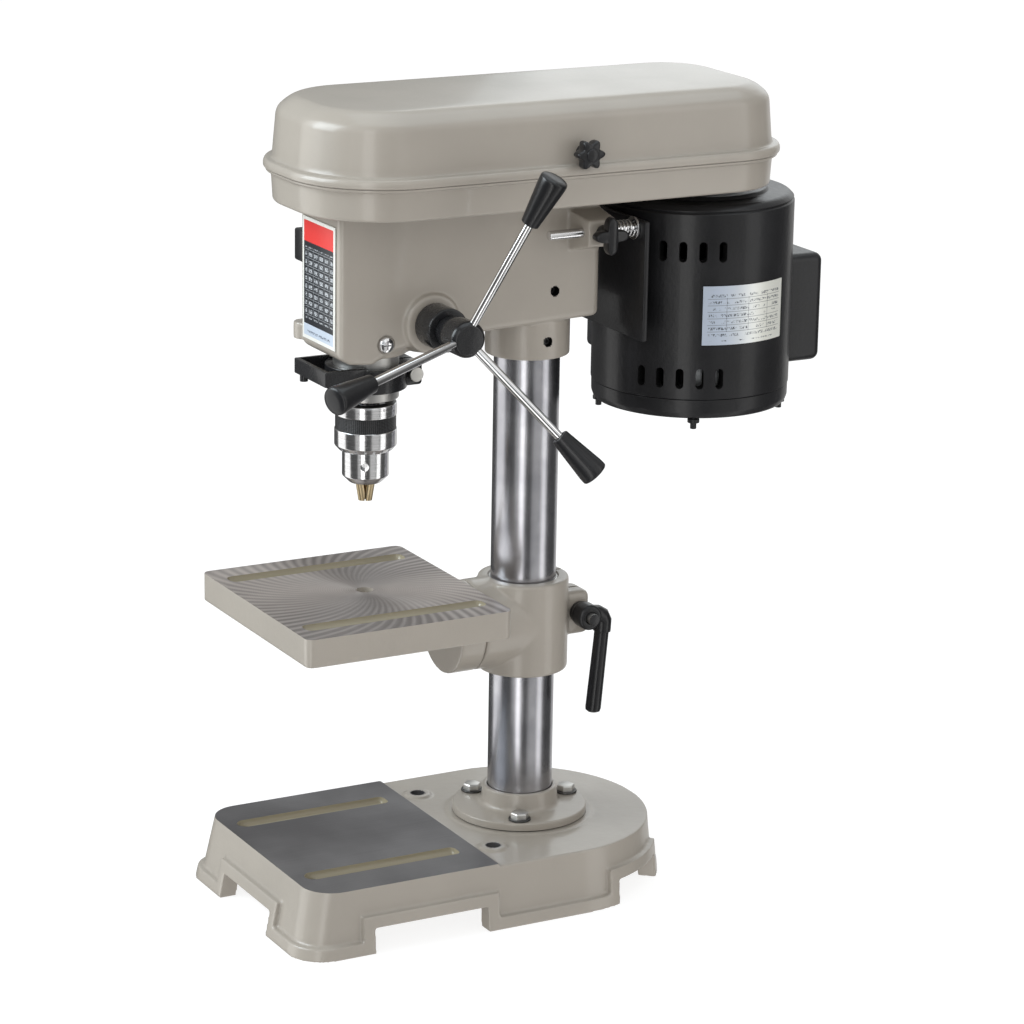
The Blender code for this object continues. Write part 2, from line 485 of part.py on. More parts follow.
# ---- quill with its rack, and the pinion that moves it ----
MODULE = 2 * PINION_PITCH_R / PINION_TEETH
TOOTH_PITCH = pi * MODULE
quill = turned("quill", [
    (QUILL_R - 0.001, QUILL_TOP), (QUILL_R, QUILL_TOP - 0.001), (QUILL_R, QUILL_FOOT + 0.001),
    (QUILL_R - 0.001, QUILL_FOOT), (SPINDLE_R + 0.0001, QUILL_FOOT), (SPINDLE_R + 0.0001, QUILL_TOP)],
    STEEL, (0, SPINDLE_Y, 0), steps=48)
rack_y = FEED_Y - PINION_PITCH_R - 0.75 * MODULE
tip_y = FEED_Y - PINION_PITCH_R + 0.75 * MODULE
flank = tan(radians(20)) * MODULE
low, high = FEED_Z - 2.2 * TOOTH_PITCH, FEED_Z + QUILL_STROKE + 2.2 * TOOTH_PITCH
count = round((high - low) / TOOTH_PITCH)
gap_half = TOOTH_PITCH / 4
for i in range(count):
    z = FEED_Z + (i - 2) * TOOTH_PITCH
    root_z, mouth_z = gap_half - flank, gap_half + 0.75 * flank + 0.0012 * tan(radians(20))
    gap = [(rack_y - 0.25 * MODULE, z - root_z), (tip_y + 0.0012, z - mouth_z),
           (tip_y + 0.0012, z + mouth_z), (rack_y - 0.25 * MODULE, z + root_z)]
    cutter = prism(f"rack_gap_{i}", gap, -RACK_HALF, RACK_HALF, "X")
    if i:
        fuse(bpy.data.objects["rack_gap_0"], cutter)
rack_zone = block("rack_flat", (-RACK_HALF, tip_y, low), (RACK_HALF, tip_y + 0.01, high))
fuse(rack_zone, bpy.data.objects["rack_gap_0"])
carve(quill, rack_zone)


def involute_outline(teeth, pitch_r, play):
    """Gear outline with a tooth centred on angle 0, thinned by `play` at the pitch circle."""
    module = 2 * pitch_r / teeth
    base_r = pitch_r * cos(radians(20))
    tip, root = pitch_r + 0.75 * module, pitch_r - 1.05 * module

    def half_angle(r):
        a = acos(min(1, base_r / max(r, base_r)))
        return (pi * module / 2 - play) / (2 * pitch_r) + (tan(radians(20)) - radians(20)) - (tan(a) - a)

    radii = [root, pitch_r - 0.3 * module, pitch_r + 0.3 * module, tip]
    outline = []
    for k in range(teeth):
        mid = 2 * pi * k / teeth
        for r, sign in [(r, -1) for r in radii] + [(r, 1) for r in radii[::-1]]:
            angle = mid + sign * half_angle(r)
            outline.append((r * cos(angle), r * sin(angle)))
    return outline


pinion = turned("pinion_shaft", [
    (0, 0.0780), (0.0070, 0.0780), (0.0080, 0.0770), (0.0080, 0.0350), (0.0134, 0.0350), (0.0134, 0.0170),
    (0.0095, 0.0170), (0.0095, -0.0170), (0.0134, -0.0170), (0.0134, -0.0290), (0.0060, -0.0290),
    (0.0060, -0.0450), (0, -0.0450)], STEEL, (0, FEED_Y, FEED_Z), ALONG_X, 32)
gear_ring = [(FEED_Y - a, FEED_Z + b) for a, b in involute_outline(PINION_TEETH, PINION_PITCH_R, TOOTH_PLAY)]
fuse(pinion, prism("pinion_teeth", gear_ring, -PINION_HALF, PINION_HALF, "X"))

spring_can = turned("spring_housing", [
    (0, -0.0316), (0.0235, -0.0316), (0.0240, -0.0321), (0.0240, -0.0500), (0.0225, -0.0515), (0, -0.0515)],
    BLACK, (0, FEED_Y, FEED_Z), ALONG_X, 36)
carve(spring_can, drum("spring_way", 0.0063, 0.030, None, (-0.0316, FEED_Y, FEED_Z), ALONG_X, 20))

# ---- feed handles ----
turned("feed_collar", [
    (HUB_A_R - 0.0015, HUB_A_X1), (HUB_A_R, HUB_A_X1 - 0.0015), (HUB_A_R, HUB_A_X0 + 0.0010),
    (HUB_A_R - 0.0010, HUB_A_X0), (0.0083, HUB_A_X0), (0.0083, HUB_A_X1)], BLACK, (0, FEED_Y, FEED_Z), ALONG_X, 32)
feed_hub = turned("feed_hub", [
    (0, HUB_B_X1), (HUB_B_R - 0.0030, HUB_B_X1), (HUB_B_R, HUB_B_X1 - 0.0025), (HUB_B_R, HUB_B_X0 + 0.0060),
    (0.0100, HUB_B_X0 - 0.0077), (0.0083, HUB_B_X0 - 0.0077), (0.0083, 0.0783), (0, 0.0783)], BLACK,
    (0, FEED_Y, FEED_Z), ALONG_X, 32)
lean = radians(ARM_LEAN)
for index, angle in enumerate(ARM_ANGLES):
    theta = radians(angle)
    way = Vector((sin(lean), cos(lean) * cos(theta), cos(lean) * sin(theta)))
    centre = Vector((ARM_X, FEED_Y, FEED_Z))
    turn = way.to_track_quat("Z", "Y").to_euler()
    socket = tube_between(f"rod_socket_{index}", centre + way * 0.0092, centre + way * 0.03, ROD_R + GAP, ROD_R + GAP)
    carve(feed_hub, socket)
    start, end = 0.0096, ARM_REACH - 0.012
    turned(f"feed_rod_{index + 1}", [
        (0, end), (ROD_R - 0.0005, end), (ROD_R, end - 0.0005), (ROD_R, start), (0, start)],
        CHROME, centre, turn, 16)
    base_at = ARM_REACH - KNOB_L
    turned(f"feed_knob_{index + 1}", [
        (0, ARM_REACH + 0.0006), (KNOB_R1 - 0.0035, ARM_REACH), (KNOB_R1 - 0.0010, ARM_REACH - 0.0008),
        (KNOB_R1, ARM_REACH - 0.0025), (KNOB_R1 - 0.0004, ARM_REACH - 0.0050), (KNOB_R0, base_at + 0.0006),
        (KNOB_R0 - 0.0006, base_at), (ROD_R + GAP, base_at), (ROD_R + GAP, end + GAP), (0, end + GAP)],
        BLACK, centre, turn, 24)

# ---- clamp collar on the quill ----
collar = turned("quill_collar", [
    (0, QC_TOP), (QC_R - 0.001, QC_TOP), (QC_R, QC_TOP - 0.001), (QC_R, QC_FOOT + 0.001), (QC_R - 0.001, QC_FOOT),
    (0, QC_FOOT)], BLACK, (0, SPINDLE_Y, 0), steps=40)
frame = block("bar_frame", (-BAR_HALF, -BAR_FRONT, BAR_FOOT), (BAR_HALF, SPINDLE_Y - 0.012, BAR_TOP))
carve(frame, block("bar_gap", (-BAR_HALF + BAR_T, -BAR_FRONT + BAR_T, BAR_FOOT - 0.01),
                   (BAR_HALF - BAR_T, SPINDLE_Y + 0.01, BAR_TOP + 0.01)))
qc_ears = block("collar_ears", (-QC_EAR_X, SPINDLE_Y + QUILL_R - 0.0045, QC_FOOT), (QC_EAR_X, QC_EAR_BACK, QC_TOP))
soften(qc_ears, 0.0025, 2)
fuse(collar, frame, qc_ears, drum("stop_post", 0.0028, 0.008, None,
                                  (-BAR_HALF + 0.006, -BAR_FRONT + 0.0045, BAR_FOOT - 0.001), sides=12))
carve(collar, drum("quill_fit", QUILL_R + GAP, 0.05, None, (0, SPINDLE_Y, 0.378), sides=48),
      block("collar_slit", (-SLIT / 2, SPINDLE_Y + 0.01, 0.35), (SLIT / 2, -0.08, 0.40)),
      drum("collar_bolt_way", 0.0033, 0.05, None, (0, QC_BOLT_Y, QC_BOLT_Z), ALONG_X, 16))
turned("collar_bolt", [
    (0, QC_EAR_X + 0.0045), (0.0040, QC_EAR_X + 0.0045), (0.0048, QC_EAR_X + 0.0037), (0.0048, QC_EAR_X + GAP),
    (0.0030, QC_EAR_X + GAP), (0.0030, -QC_EAR_X - 0.003), (0, -QC_EAR_X - 0.003)], STEEL,
    (0, QC_BOLT_Y, QC_BOLT_Z), ALONG_X, 18)

# ---- spindle and chuck ----
turned("spindle", [
    (0, SPINDLE_TOP), (0.0060, SPINDLE_TOP), (0.0068, SPINDLE_TOP - 0.001), (0.0068, QUILL_TOP + 0.004),
    (SPINDLE_R, QUILL_TOP + 0.0035), (SPINDLE_R, QUILL_FOOT - GAP), (0.0105, QUILL_FOOT - GAP),
    (0.0105, CHUCK_TOP + 0.0015), (SPINDLE_NOSE_R, CHUCK_TOP + 0.0010), (SPINDLE_NOSE_R - 0.0005, 0.3365),
    (0, 0.3365)], CHROME, (0, SPINDLE_Y, 0), steps=32)
chuck = turned("chuck_body", [
    (0.0130, CHUCK_TOP), (SLEEVE_BORE - GAP, CHUCK_TOP - 0.001), (SLEEVE_BORE - GAP, SLEEVE_FOOT - GAP),
    (CHUCK_R, SLEEVE_FOOT - GAP), (CHUCK_R, CHUCK_FOOT), (CHUCK_NOSE_R, CHUCK_NOSE), (0.0040, CHUCK_NOSE),
    (0.0040, 0.3360), (SPINDLE_NOSE_R + GAP - 0.0005, 0.3360), (SPINDLE_NOSE_R + GAP, CHUCK_TOP)],
    CHROME, (0, SPINDLE_Y, 0), steps=32)
sleeve = turned("chuck_sleeve", [
    (SLEEVE_R - 0.0025, SLEEVE_TOP), (SLEEVE_R, SLEEVE_TOP - 0.0020), (SLEEVE_R, BAND_TOP), (SLEEVE_R - 0.0006, BAND_TOP - 0.0006),
    (SLEEVE_R - 0.0006, BAND_FOOT + 0.0006), (SLEEVE_R, BAND_FOOT), (SLEEVE_R, SLEEVE_FOOT + 0.0035),
    (SLEEVE_R - 0.0035, SLEEVE_FOOT), (SLEEVE_BORE, SLEEVE_FOOT), (SLEEVE_BORE, SLEEVE_TOP - 0.0040),
    (SLEEVE_R - 0.0045, SLEEVE_TOP - 0.0010), (SLEEVE_R - 0.0045, SLEEVE_TOP)], CHROME, (0, SPINDLE_Y, 0), steps=36)
SLEEVE_TEETH = 20
for k in range(SLEEVE_TEETH):
    angle = 2 * pi * (k + 0.5) / SLEEVE_TEETH
    bm = bmesh.new()
    bmesh.ops.create_cube(bm, size=1)
    bmesh.ops.scale(bm, vec=(0.0060, 0.0018, 0.0048), verts=bm.verts[:])
    tooth = place(f"sleeve_gap_{k}", mesh_of(bm, f"sleeve_gap_{k}"), None,
                  ((SLEEVE_R - 0.0008) * cos(angle), SPINDLE_Y + (SLEEVE_R - 0.0008) * sin(angle), SLEEVE_FOOT),
                  (0, 0, angle))
    carve(sleeve, tooth)
for k in range(3):
    angle = radians(KEY_ANGLE + 120 * k)
    out = Vector((cos(angle), sin(angle), 0))
    spot = Vector((0, SPINDLE_Y, KEY_HOLE_Z))
    carve(chuck, tube_between(f"key_hole_{k}", spot + out * 0.0115, spot + out * 0.025, KEY_HOLE_R, KEY_HOLE_R, 16))
tilt = radians(JAW_TILT)
for k in range(3):
    angle = radians(KEY_ANGLE + 60 + 120 * k)
    out = Vector((cos(angle), sin(angle), 0))
    rise = (out * sin(tilt) + Vector((0, 0, 1)) * cos(tilt)).normalized()
    tip = Vector((0, SPINDLE_Y, JAW_TIP)) + out * JAW_IN
    length = (JAW_TOP - JAW_TIP) / cos(tilt)
    carve(chuck, tube_between(f"jaw_way_{k}", tip - rise * 0.002, tip + rise * (length + JAW_TRAVEL + 0.001),
                              JAW_R + GAP, JAW_R + GAP, 20))
    turn = rise.to_track_quat("Z", "Y").to_euler()
    jaw = drum(f"chuck_jaw_{k + 1}", JAW_R, length + 0.004, CARBIDE, tip + rise * (length / 2 + 0.001), turn, 18)
    side = Vector((-out.y, out.x, 0))
    centre = Vector((0, SPINDLE_Y, 0)) + out * 0.0004
    sector = [centre, centre + (out * 0.5 + side * 0.8660) * 0.03, centre + out * 0.03,
              centre + (out * 0.5 - side * 0.8660) * 0.03]
    keep(jaw, prism(f"jaw_zone_{k}", [(p.x, p.y) for p in sector[::-1]], JAW_TIP, JAW_TOP))

# ---- pulleys and belt ----
SPINDLE_C, MOTOR_C = Vector((0, SPINDLE_Y)), Vector((0, MOTOR_Y))


def pulley(name, steps, inner, at):
    """A stepped V pulley, lowest step first, bored for its shaft."""
    outline = []
    for k in reversed(range(len(steps))):
        r, z0 = steps[k], PULLEY_FOOT + k * STEP_H
        outline += [(r, z0 + STEP_H - 0.0004), (r - GROOVE_D, z0 + STEP_H / 2 + 0.0022),
                    (r - GROOVE_D, z0 + STEP_H / 2 - 0.0022), (r, z0 + 0.0004)]
    return turned(name, outline + [(inner, PULLEY_FOOT), (inner, PULLEY_FOOT + STEP_H * len(steps))],
                  ALLOY, at, steps=28)


pulley("spindle_pulley", SPINDLE_STEPS, 0.0071, (0, SPINDLE_Y, 0))
pulley("motor_pulley", MOTOR_STEPS, SHAFT_R + GAP, (0, MOTOR_Y, 0))


def belt_loop(inset):
    """Outline round both pulleys at the belt's step, `inset` inside the belt's outer face."""
    r0, r1 = (s[BELT_STEP] - 0.0004 - inset for s in (SPINDLE_STEPS, MOTOR_STEPS))
    span = MOTOR_Y - SPINDLE_Y
    swing = degrees(atan2(r0 - r1, sqrt(span ** 2 - (r0 - r1) ** 2)))
    return (arc(0, SPINDLE_Y, r0, 180 - swing, 360 + swing, 22)
            + arc(0, MOTOR_Y, r1, swing, 180 - swing, 14))


belt_z = PULLEY_FOOT + (BELT_STEP + 0.5) * STEP_H
corners = [belt_loop(inset) for inset in (BELT_T, 0, 0, BELT_T)]
bm = bmesh.new()
rows = [[bm.verts.new((x, y, belt_z + dz)) for x, y in corner]
        for dz, corner in zip((-0.0022, -BELT_W / 2, BELT_W / 2, 0.0022), corners)]
for k in range(4):
    one, two = rows[k], rows[(k + 1) % 4]
    for i in range(len(one)):
        j = (i + 1) % len(one)
        bm.faces.new((one[i], one[j], two[j], two[i]))
belt = place("drive_belt", mesh_of(bm, "drive_belt"), RUBBER)


# ---- belt tub and lid ----
def tub_outline(grow, n=7):
    half, front, back = TUB_HALF + grow, -TUB_FRONT - grow, TUB_BACK + grow
    rf, rb = TUB_RF + grow, TUB_RB + grow
    return (arc(half - rb, back - rb, rb, 0, 90, n) + arc(-half + rb, back - rb, rb, 90, 180, n)
            + arc(-half + rf, front + rf, rf, 180, 270, n) + arc(half - rf, front + rf, rf, 270, 360, n))


def skin(name, levels, mat=None):
    return loft(name, [[(x, y, z) for x, y in tub_outline(grow)] for z, grow in levels], mat)


tub = skin("belt_tub", ((TUB_FOOT, -0.0025), (TUB_FOOT + 0.0008, -0.0008), (TUB_FOOT + 0.0025, 0),
                        (TUB_TOP - 0.0022, 0.0008), (TUB_TOP - 0.0018, 0.0040), (TUB_TOP, 0.0044)), ENAMEL)
carve(tub, skin("tub_hollow", ((TUB_FOOT + TUB_WALL, -TUB_WALL - 0.0010), (TUB_TOP + 0.01, -TUB_WALL))),
      drum("spindle_hole", 0.0160, 0.02, None, (0, SPINDLE_Y, TUB_FOOT), sides=32))
slot = fuse(drum("motor_slot", 0.0120, 0.02, None, (0, MOTOR_Y, TUB_FOOT), sides=24),
            drum("motor_slot_end", 0.0120, 0.02, None, (0, MOTOR_Y - MOTOR_TRAVEL, TUB_FOOT), sides=24),
            block("motor_slot_mid", (-0.0120, MOTOR_Y - MOTOR_TRAVEL, TUB_FOOT - 0.01), (0.0120, MOTOR_Y, TUB_FOOT + 0.01)))
carve(tub, slot)

lid = skin("belt_cover", (
    (LID_FOOT, BEAD_OUT - 0.0010), (LID_FOOT + 0.0010, BEAD_OUT), (BEAD_TOP - 0.0014, BEAD_OUT),
    (BEAD_TOP, BEAD_OUT - 0.0014), (BEAD_TOP + 0.0008, 0.0010), (BEAD_TOP + 0.0030, 0.0),
    (LID_TOP - 0.0150, -0.0022), (LID_TOP - 0.0098, -0.0036), (LID_TOP - 0.0050, -0.0068),
    (LID_TOP - 0.0018, -0.0110), (LID_TOP - 0.0010, -0.0135), (LID_TOP, -0.0160)), ENAMEL)
carve(lid, skin("lid_hollow", (
    (LID_FOOT - 0.01, -TUB_WALL + 0.0010), (LID_TOP - 0.0155, -0.0022 - TUB_WALL),
    (LID_TOP - 0.0072, -0.0066 - TUB_WALL), (LID_TOP - 0.0030, -0.0130 - TUB_WALL))),
    drum("cover_screw_way", 0.0028, 0.03, None, (TUB_HALF, KNOB_Y, KNOB_Z), ALONG_X, 12))


def lobed(name, radius, length, lobes, depth, mat, x0, y, z):
    """A lobed hand knob along X, from x0 outwards."""
    spots = []
    for k in range(lobes * 6):
        a = 2 * pi * k / (lobes * 6)
        r = radius - depth * (1 - cos(lobes * a)) / 2
        spots.append((r * cos(a), r * sin(a)))
    rings = [[(x0 + dx, y + a * s, z + b * s) for a, b in spots]
             for dx, s in ((0, 0.80), (length * 0.2, 1.0), (length * 0.8, 1.0), (length, 0.84))]
    return loft(name, rings, mat)


knob_x = TUB_HALF + BEAD_OUT + 0.0004
knob = lobed("cover_knob", KNOB_R, 0.0090, 6, 0.0032, BLACK, knob_x, KNOB_Y, KNOB_Z)
fuse(knob, drum("knob_neck", 0.0058, 0.0060, None, (knob_x - 0.0008, KNOB_Y, KNOB_Z), ALONG_X, 20),
     drum("knob_screw", 0.0025, 0.0180, None, (knob_x - 0.0070, KNOB_Y, KNOB_Z), ALONG_X, 12))

# ---- motor ----
motor = turned("motor_body", [
    (0, MOTOR_TOP), (MOTOR_R - 0.0231, MOTOR_TOP), (MOTOR_R - 0.0201, MOTOR_TOP - 0.0020),
    (MOTOR_R - 0.0101, MOTOR_TOP - 0.0024), (MOTOR_R - 0.0026, MOTOR_TOP - 0.0040), (MOTOR_R - 0.0004, MOTOR_TOP - 0.0064), (MOTOR_R - 0.0014, SEAM_Z - 0.0010),
    (MOTOR_R, SEAM_Z - 0.0022), (MOTOR_R, CAP_TOP), (0, CAP_TOP)], SATIN, (0, MOTOR_Y, 0), steps=48)
cap = turned("motor_cap", [
    (0, CAP_TOP - GAP), (MOTOR_R - 0.0010, CAP_TOP - GAP), (MOTOR_R - 0.0006, CAP_TOP - 0.0020),
    (MOTOR_R - 0.0006, MOTOR_FOOT + 0.0050), (MOTOR_R - 0.0020, MOTOR_FOOT + 0.0012), (MOTOR_R - 0.0050, MOTOR_FOOT),
    (MOTOR_R - 0.0161, MOTOR_FOOT), (MOTOR_R - 0.0181, MOTOR_FOOT + 0.0015), (0.0200, MOTOR_FOOT + 0.0030), (0.0180, MOTOR_FOOT),
    (0, MOTOR_FOOT)], SATIN, (0, MOTOR_Y, 0), steps=48)
carve(motor, drum("motor_hollow", MOTOR_R - 0.012, 0.130, None, (0, MOTOR_Y, CAP_TOP + 0.055), sides=40),
      drum("shaft_way", SHAFT_R + GAP, 0.08, None, (0, MOTOR_Y, MOTOR_TOP), sides=24))
turned("motor_shaft", [
    (0, SHAFT_TOP), (SHAFT_R - 0.0008, SHAFT_TOP), (SHAFT_R, SHAFT_TOP - 0.0008), (SHAFT_R, 0.4500), (0, 0.4500)],
    STEEL, (0, MOTOR_Y, 0), steps=24)
for row, z in ((0, VENT_LOW), (1, VENT_HIGH)):
    for bank in (0, 180):
        for k in range(-2, 3):
            angle = radians(VENT_ANGLES + bank + k * VENT_PITCH)
            out = Vector((cos(angle), sin(angle)))
            bm = bmesh.new()
            outline = arc(0, VENT_H / 2 - VENT_W / 2, VENT_W / 2, 0, 180, 4) + arc(
                0, -VENT_H / 2 + VENT_W / 2, VENT_W / 2, 180, 360, 4)
            rows = [[bm.verts.new((h, x, z0)) for x, z0 in outline] for h in (-VENT_D, VENT_D)]
            for i in range(len(outline)):
                j = (i + 1) % len(outline)
                bm.faces.new((rows[0][i], rows[0][j], rows[1][j], rows[1][i]))
            bm.faces.new(rows[0][::-1])
            bm.faces.new(rows[1])
            name = f"vent_{row}_{bank}_{k + 2}"
            vent = place(name, mesh_of(bm, name), None,
                         (MOTOR_R * out.x, MOTOR_Y + MOTOR_R * out.y, z), (0, 0, angle))
            carve(motor, vent)
for k in range(4):
    angle = radians(TIE_ANGLE + 90 * k)
    x, y = TIE_R * cos(angle), MOTOR_Y + TIE_R * sin(angle)
    carve(cap, drum(f"tie_way_{k}", 0.0023, 0.030, None, (x, y, MOTOR_FOOT + 0.005), sides=12))
    turned(f"tie_bolt_{k + 1}", [
        (0, MOTOR_FOOT + 0.0120), (0.0020, MOTOR_FOOT + 0.0120), (0.0020, MOTOR_FOOT - GAP),
        (0.0040, MOTOR_FOOT - GAP), (0.0040, MOTOR_FOOT - 0.0030), (0.0020, MOTOR_FOOT - 0.0034),
        (0.0020, MOTOR_FOOT - 0.0075), (0, MOTOR_FOOT - 0.0075)], SATIN, (x, y, 0), steps=12)

motor_room = drum("motor_room", MOTOR_R + GAP, 0.30, None, (0, MOTOR_Y, 0.42), sides=64)
capacitor = soften(block("capacitor_box", (-0.0210, MOTOR_Y + 0.0582, 0.3560),
                         (0.0210, MOTOR_Y + MOTOR_R + 0.0271, 0.4345), SATIN), 0.0060, 3)
carve(capacitor, motor_room)
terminal = soften(block("terminal_box", (-MOTOR_R - 0.0219, MOTOR_Y - 0.0333, 0.3560),
                        (-0.0400, MOTOR_Y + 0.0332, 0.4150), SATIN), 0.0040, 2)
carve(terminal, motor_room)
plate_room = prism("plate_room", [(0, MOTOR_Y)] + arc(0, MOTOR_Y, MOTOR_R + 0.0199, PLATE_A, PLATE_B, 10), PLATE_Z0, PLATE_Z1)
rating = turned("rating_plate", [
    (MOTOR_R + 0.0009, 0.50), (MOTOR_R + 0.0009, 0.30), (MOTOR_R + GAP, 0.30), (MOTOR_R + GAP, 0.50)], SILVER,
    (0, MOTOR_Y, 0), steps=48)
keep(rating, plate_room)

mount_plate = block("motor_bracket", (-MB_HALF, MB_FRONT, MB_FOOT), (MB_HALF, MB_FRONT + MB_T, MB_TOP), SATIN)
soften(mount_plate, 0.0012, 1)
saddle = block("bracket_saddle", (-0.0380, MB_FRONT + MB_T - 0.0006, MB_FOOT + 0.012),
               (0.0380, MB_FRONT + MB_T + 0.0110, MB_TOP - 0.014))
fuse(mount_plate, saddle)
carve(mount_plate, motor_room)
for side, tag in ((-1, "left"), (1, "right")):
    carve(mount_plate, drum(f"rod_fit_{tag}", SLIDE_R + GAP, 0.03, None,
                            (side * SLIDE_X, MB_FRONT, SLIDE_Z), ALONG_Y, 20))
    turned(f"slide_rod_{tag}", [
        (0, SLIDE_BACK), (SLIDE_R - 0.0006, SLIDE_BACK), (SLIDE_R, SLIDE_BACK - 0.0006),
        (SLIDE_R, SLIDE_FRONT + 0.0006), (SLIDE_R - 0.0006, SLIDE_FRONT), (0, SLIDE_FRONT)],
        CHROME, (side * SLIDE_X, 0, SLIDE_Z), ALONG_Y, 20)

WASHER = MB_FRONT - GAP - 0.0016
turned("spring_washer", [
    (0.0080, WASHER + 0.0016), (0.0080, WASHER), (SLIDE_R + GAP, WASHER), (SLIDE_R + GAP, WASHER + 0.0016)],
    CHROME, (SLIDE_X, 0, SLIDE_Z), ALONG_Y, 24)
SPRING_FOOT, SPRING_TURNS, WIRE_R, COIL_R = HEAD_BACK + 0.0003, 5, 0.0008, 0.0056
length = WASHER - GAP - SPRING_FOOT - 2 * WIRE_R
line = bpy.data.curves.new("spring_line", "CURVE")
line.dimensions = "3D"
line.bevel_depth = WIRE_R
line.bevel_resolution = 1
line.use_fill_caps = True
path = line.splines.new("POLY")
spots = SPRING_TURNS * 12 + 1
path.points.add(spots - 1)
for i in range(spots):
    a = 2 * pi * i / 12
    path.points[i].co = (COIL_R * cos(a), SPRING_FOOT + WIRE_R + 0.0001 + (length - 0.0002) * i / (spots - 1),
                         COIL_R * sin(a), 1)
line_obj = bpy.data.objects.new("spring_line", line)
TOOLS.objects.link(line_obj)
bpy.context.view_layer.update()
spring_mesh = bpy.data.meshes.new_from_object(line_obj.evaluated_get(bpy.context.evaluated_depsgraph_get()))
bpy.data.objects.remove(line_obj, do_unlink=True)
bm = bmesh.new()
bm.from_mesh(spring_mesh)
bmesh.ops.remove_doubles(bm, verts=bm.verts[:], dist=0.00001)
spring_mesh.materials.clear()
place("tension_spring", mesh_of(bm, "tension_spring"), CHROME, (SLIDE_X, 0, SLIDE_Z))

lock = lobed("tension_knob", 0.0130, 0.0085, 4, 0.0070, BLACK, SLIDE_BOSS_X + 0.0060, 0.0280, SLIDE_Z)
fuse(lock, drum("lock_neck", 0.0060, 0.0085, None, (SLIDE_BOSS_X + 0.0046, 0.0280, SLIDE_Z), ALONG_X, 20),
     drum("lock_screw", 0.0023, 0.0120, None, (SLIDE_BOSS_X + 0.0018, 0.0280, SLIDE_Z), ALONG_X, 12))

# ---- plate and switch on the head ----
block("speed_plate", (-0.0248, -HEAD_FRONT - GAP - 0.0008, 0.4015), (0.0248, -HEAD_FRONT - GAP, 0.4850), LABEL)
switch = soften(block("switch_box", (-0.0470, -0.1555, 0.4500), (-HEAD_HALF - GAP, -0.1250, 0.4720), BLACK), 0.0015, 2)
carve(switch, drum("toggle_way", 0.0034, 0.008, None, (-0.0465, -0.1400, 0.4610), ALONG_X, 16))
toggle = turned("switch_toggle", [
    (0, 0.0030), (0.0018, 0.0022), (0.0026, 0.0), (0.0018, -0.0025), (0.0016, -0.0060), (0.0024, -0.0120),
    (0.0016, -0.0132), (0, -0.0134)], CHROME, (-0.0465, -0.1400, 0.4610), (0, radians(90 - 14), 0), 16)
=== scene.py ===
from math import atan2, cos, degrees, hypot, pi, radians, sin, sqrt
import bmesh
import bpy
from mathutils import Euler, Matrix, Vector


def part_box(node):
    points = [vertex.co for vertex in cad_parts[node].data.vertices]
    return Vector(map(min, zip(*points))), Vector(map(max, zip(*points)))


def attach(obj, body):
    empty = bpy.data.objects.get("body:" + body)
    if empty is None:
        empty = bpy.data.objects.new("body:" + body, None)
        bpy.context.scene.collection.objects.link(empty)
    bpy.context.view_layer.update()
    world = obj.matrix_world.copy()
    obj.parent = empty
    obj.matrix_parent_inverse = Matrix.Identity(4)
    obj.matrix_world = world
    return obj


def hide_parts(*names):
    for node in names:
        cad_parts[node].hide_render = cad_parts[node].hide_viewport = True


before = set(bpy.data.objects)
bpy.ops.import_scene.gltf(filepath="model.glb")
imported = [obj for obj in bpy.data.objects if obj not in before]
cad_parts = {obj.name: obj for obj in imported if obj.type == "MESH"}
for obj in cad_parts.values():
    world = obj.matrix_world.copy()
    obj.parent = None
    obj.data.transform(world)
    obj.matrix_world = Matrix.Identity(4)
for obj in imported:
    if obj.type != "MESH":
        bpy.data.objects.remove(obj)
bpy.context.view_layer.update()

# ---- camera ----
# A long lens a little above the table, looking at the front and the feed-handle side.
camera = bpy.data.objects.new("camera", bpy.data.cameras.new("camera"))
bpy.context.scene.collection.objects.link(camera)
camera.location = (2.13045, -1.18928, 0.96692)
camera.rotation_euler = Euler([radians(a) for a in (74.0192, -0.918, 61.6182)])
camera.data.lens, camera.data.sensor_width = 128.08, 36
camera.data.clip_start, camera.data.clip_end = 0.1, 50
bpy.context.scene.camera = camera
bpy.context.scene.view_settings.view_transform = "Standard"

# ---- floor and light ----
# A pale studio floor under soft lamps, with a dark room that has tall light panels in it, so that
# bright round metal shows upright bands.
floor_mesh = bpy.data.meshes.new("floor")
floor_mesh.from_pydata([(-9, -9, 0), (9, -9, 0), (9, 9, 0), (-9, 9, 0)], [], [(0, 1, 2, 3)])
floor = bpy.data.objects.new("floor", floor_mesh)
bpy.context.scene.collection.objects.link(floor)
floor.location.z = -0.0002
floor.visible_glossy = False
floor_paint = bpy.data.materials.new("pale_floor")
floor_paint.use_nodes = True
for socket, value in (("Base Color", (0.22, 0.22, 0.22, 1)), ("Roughness", 0.9), ("Emission Color", (1, 1, 1, 1)),
                      ("Emission Strength", 0.84)):
    floor_paint.node_tree.nodes["Principled BSDF"].inputs[socket].default_value = value
floor_mesh.materials.append(floor_paint)

MIDDLE = Vector((-0.01, -0.02, 0.28))
LAMPS = (("key_lamp", (-0.45, -1.75, 1.35), 1.3, 33), ("side_lamp", (1.9, -0.25, 1.1), 1.2, 0.9),
         ("top_lamp", (0.1, 0.2, 2.1), 1.8, 12), ("back_lamp", (-1.4, 1.3, 1.2), 1.2, 2.5))
for name, spot, size, watts in LAMPS:
    lamp = bpy.data.objects.new(name, bpy.data.lights.new(name, "AREA"))
    bpy.context.scene.collection.objects.link(lamp)
    lamp.location = spot
    lamp.rotation_euler = (MIDDLE - Vector(spot)).to_track_quat("-Z", "Y").to_euler()
    lamp.data.size, lamp.data.energy = size, watts
    lamp.data.color = (0.9, 1.0, 1.06)


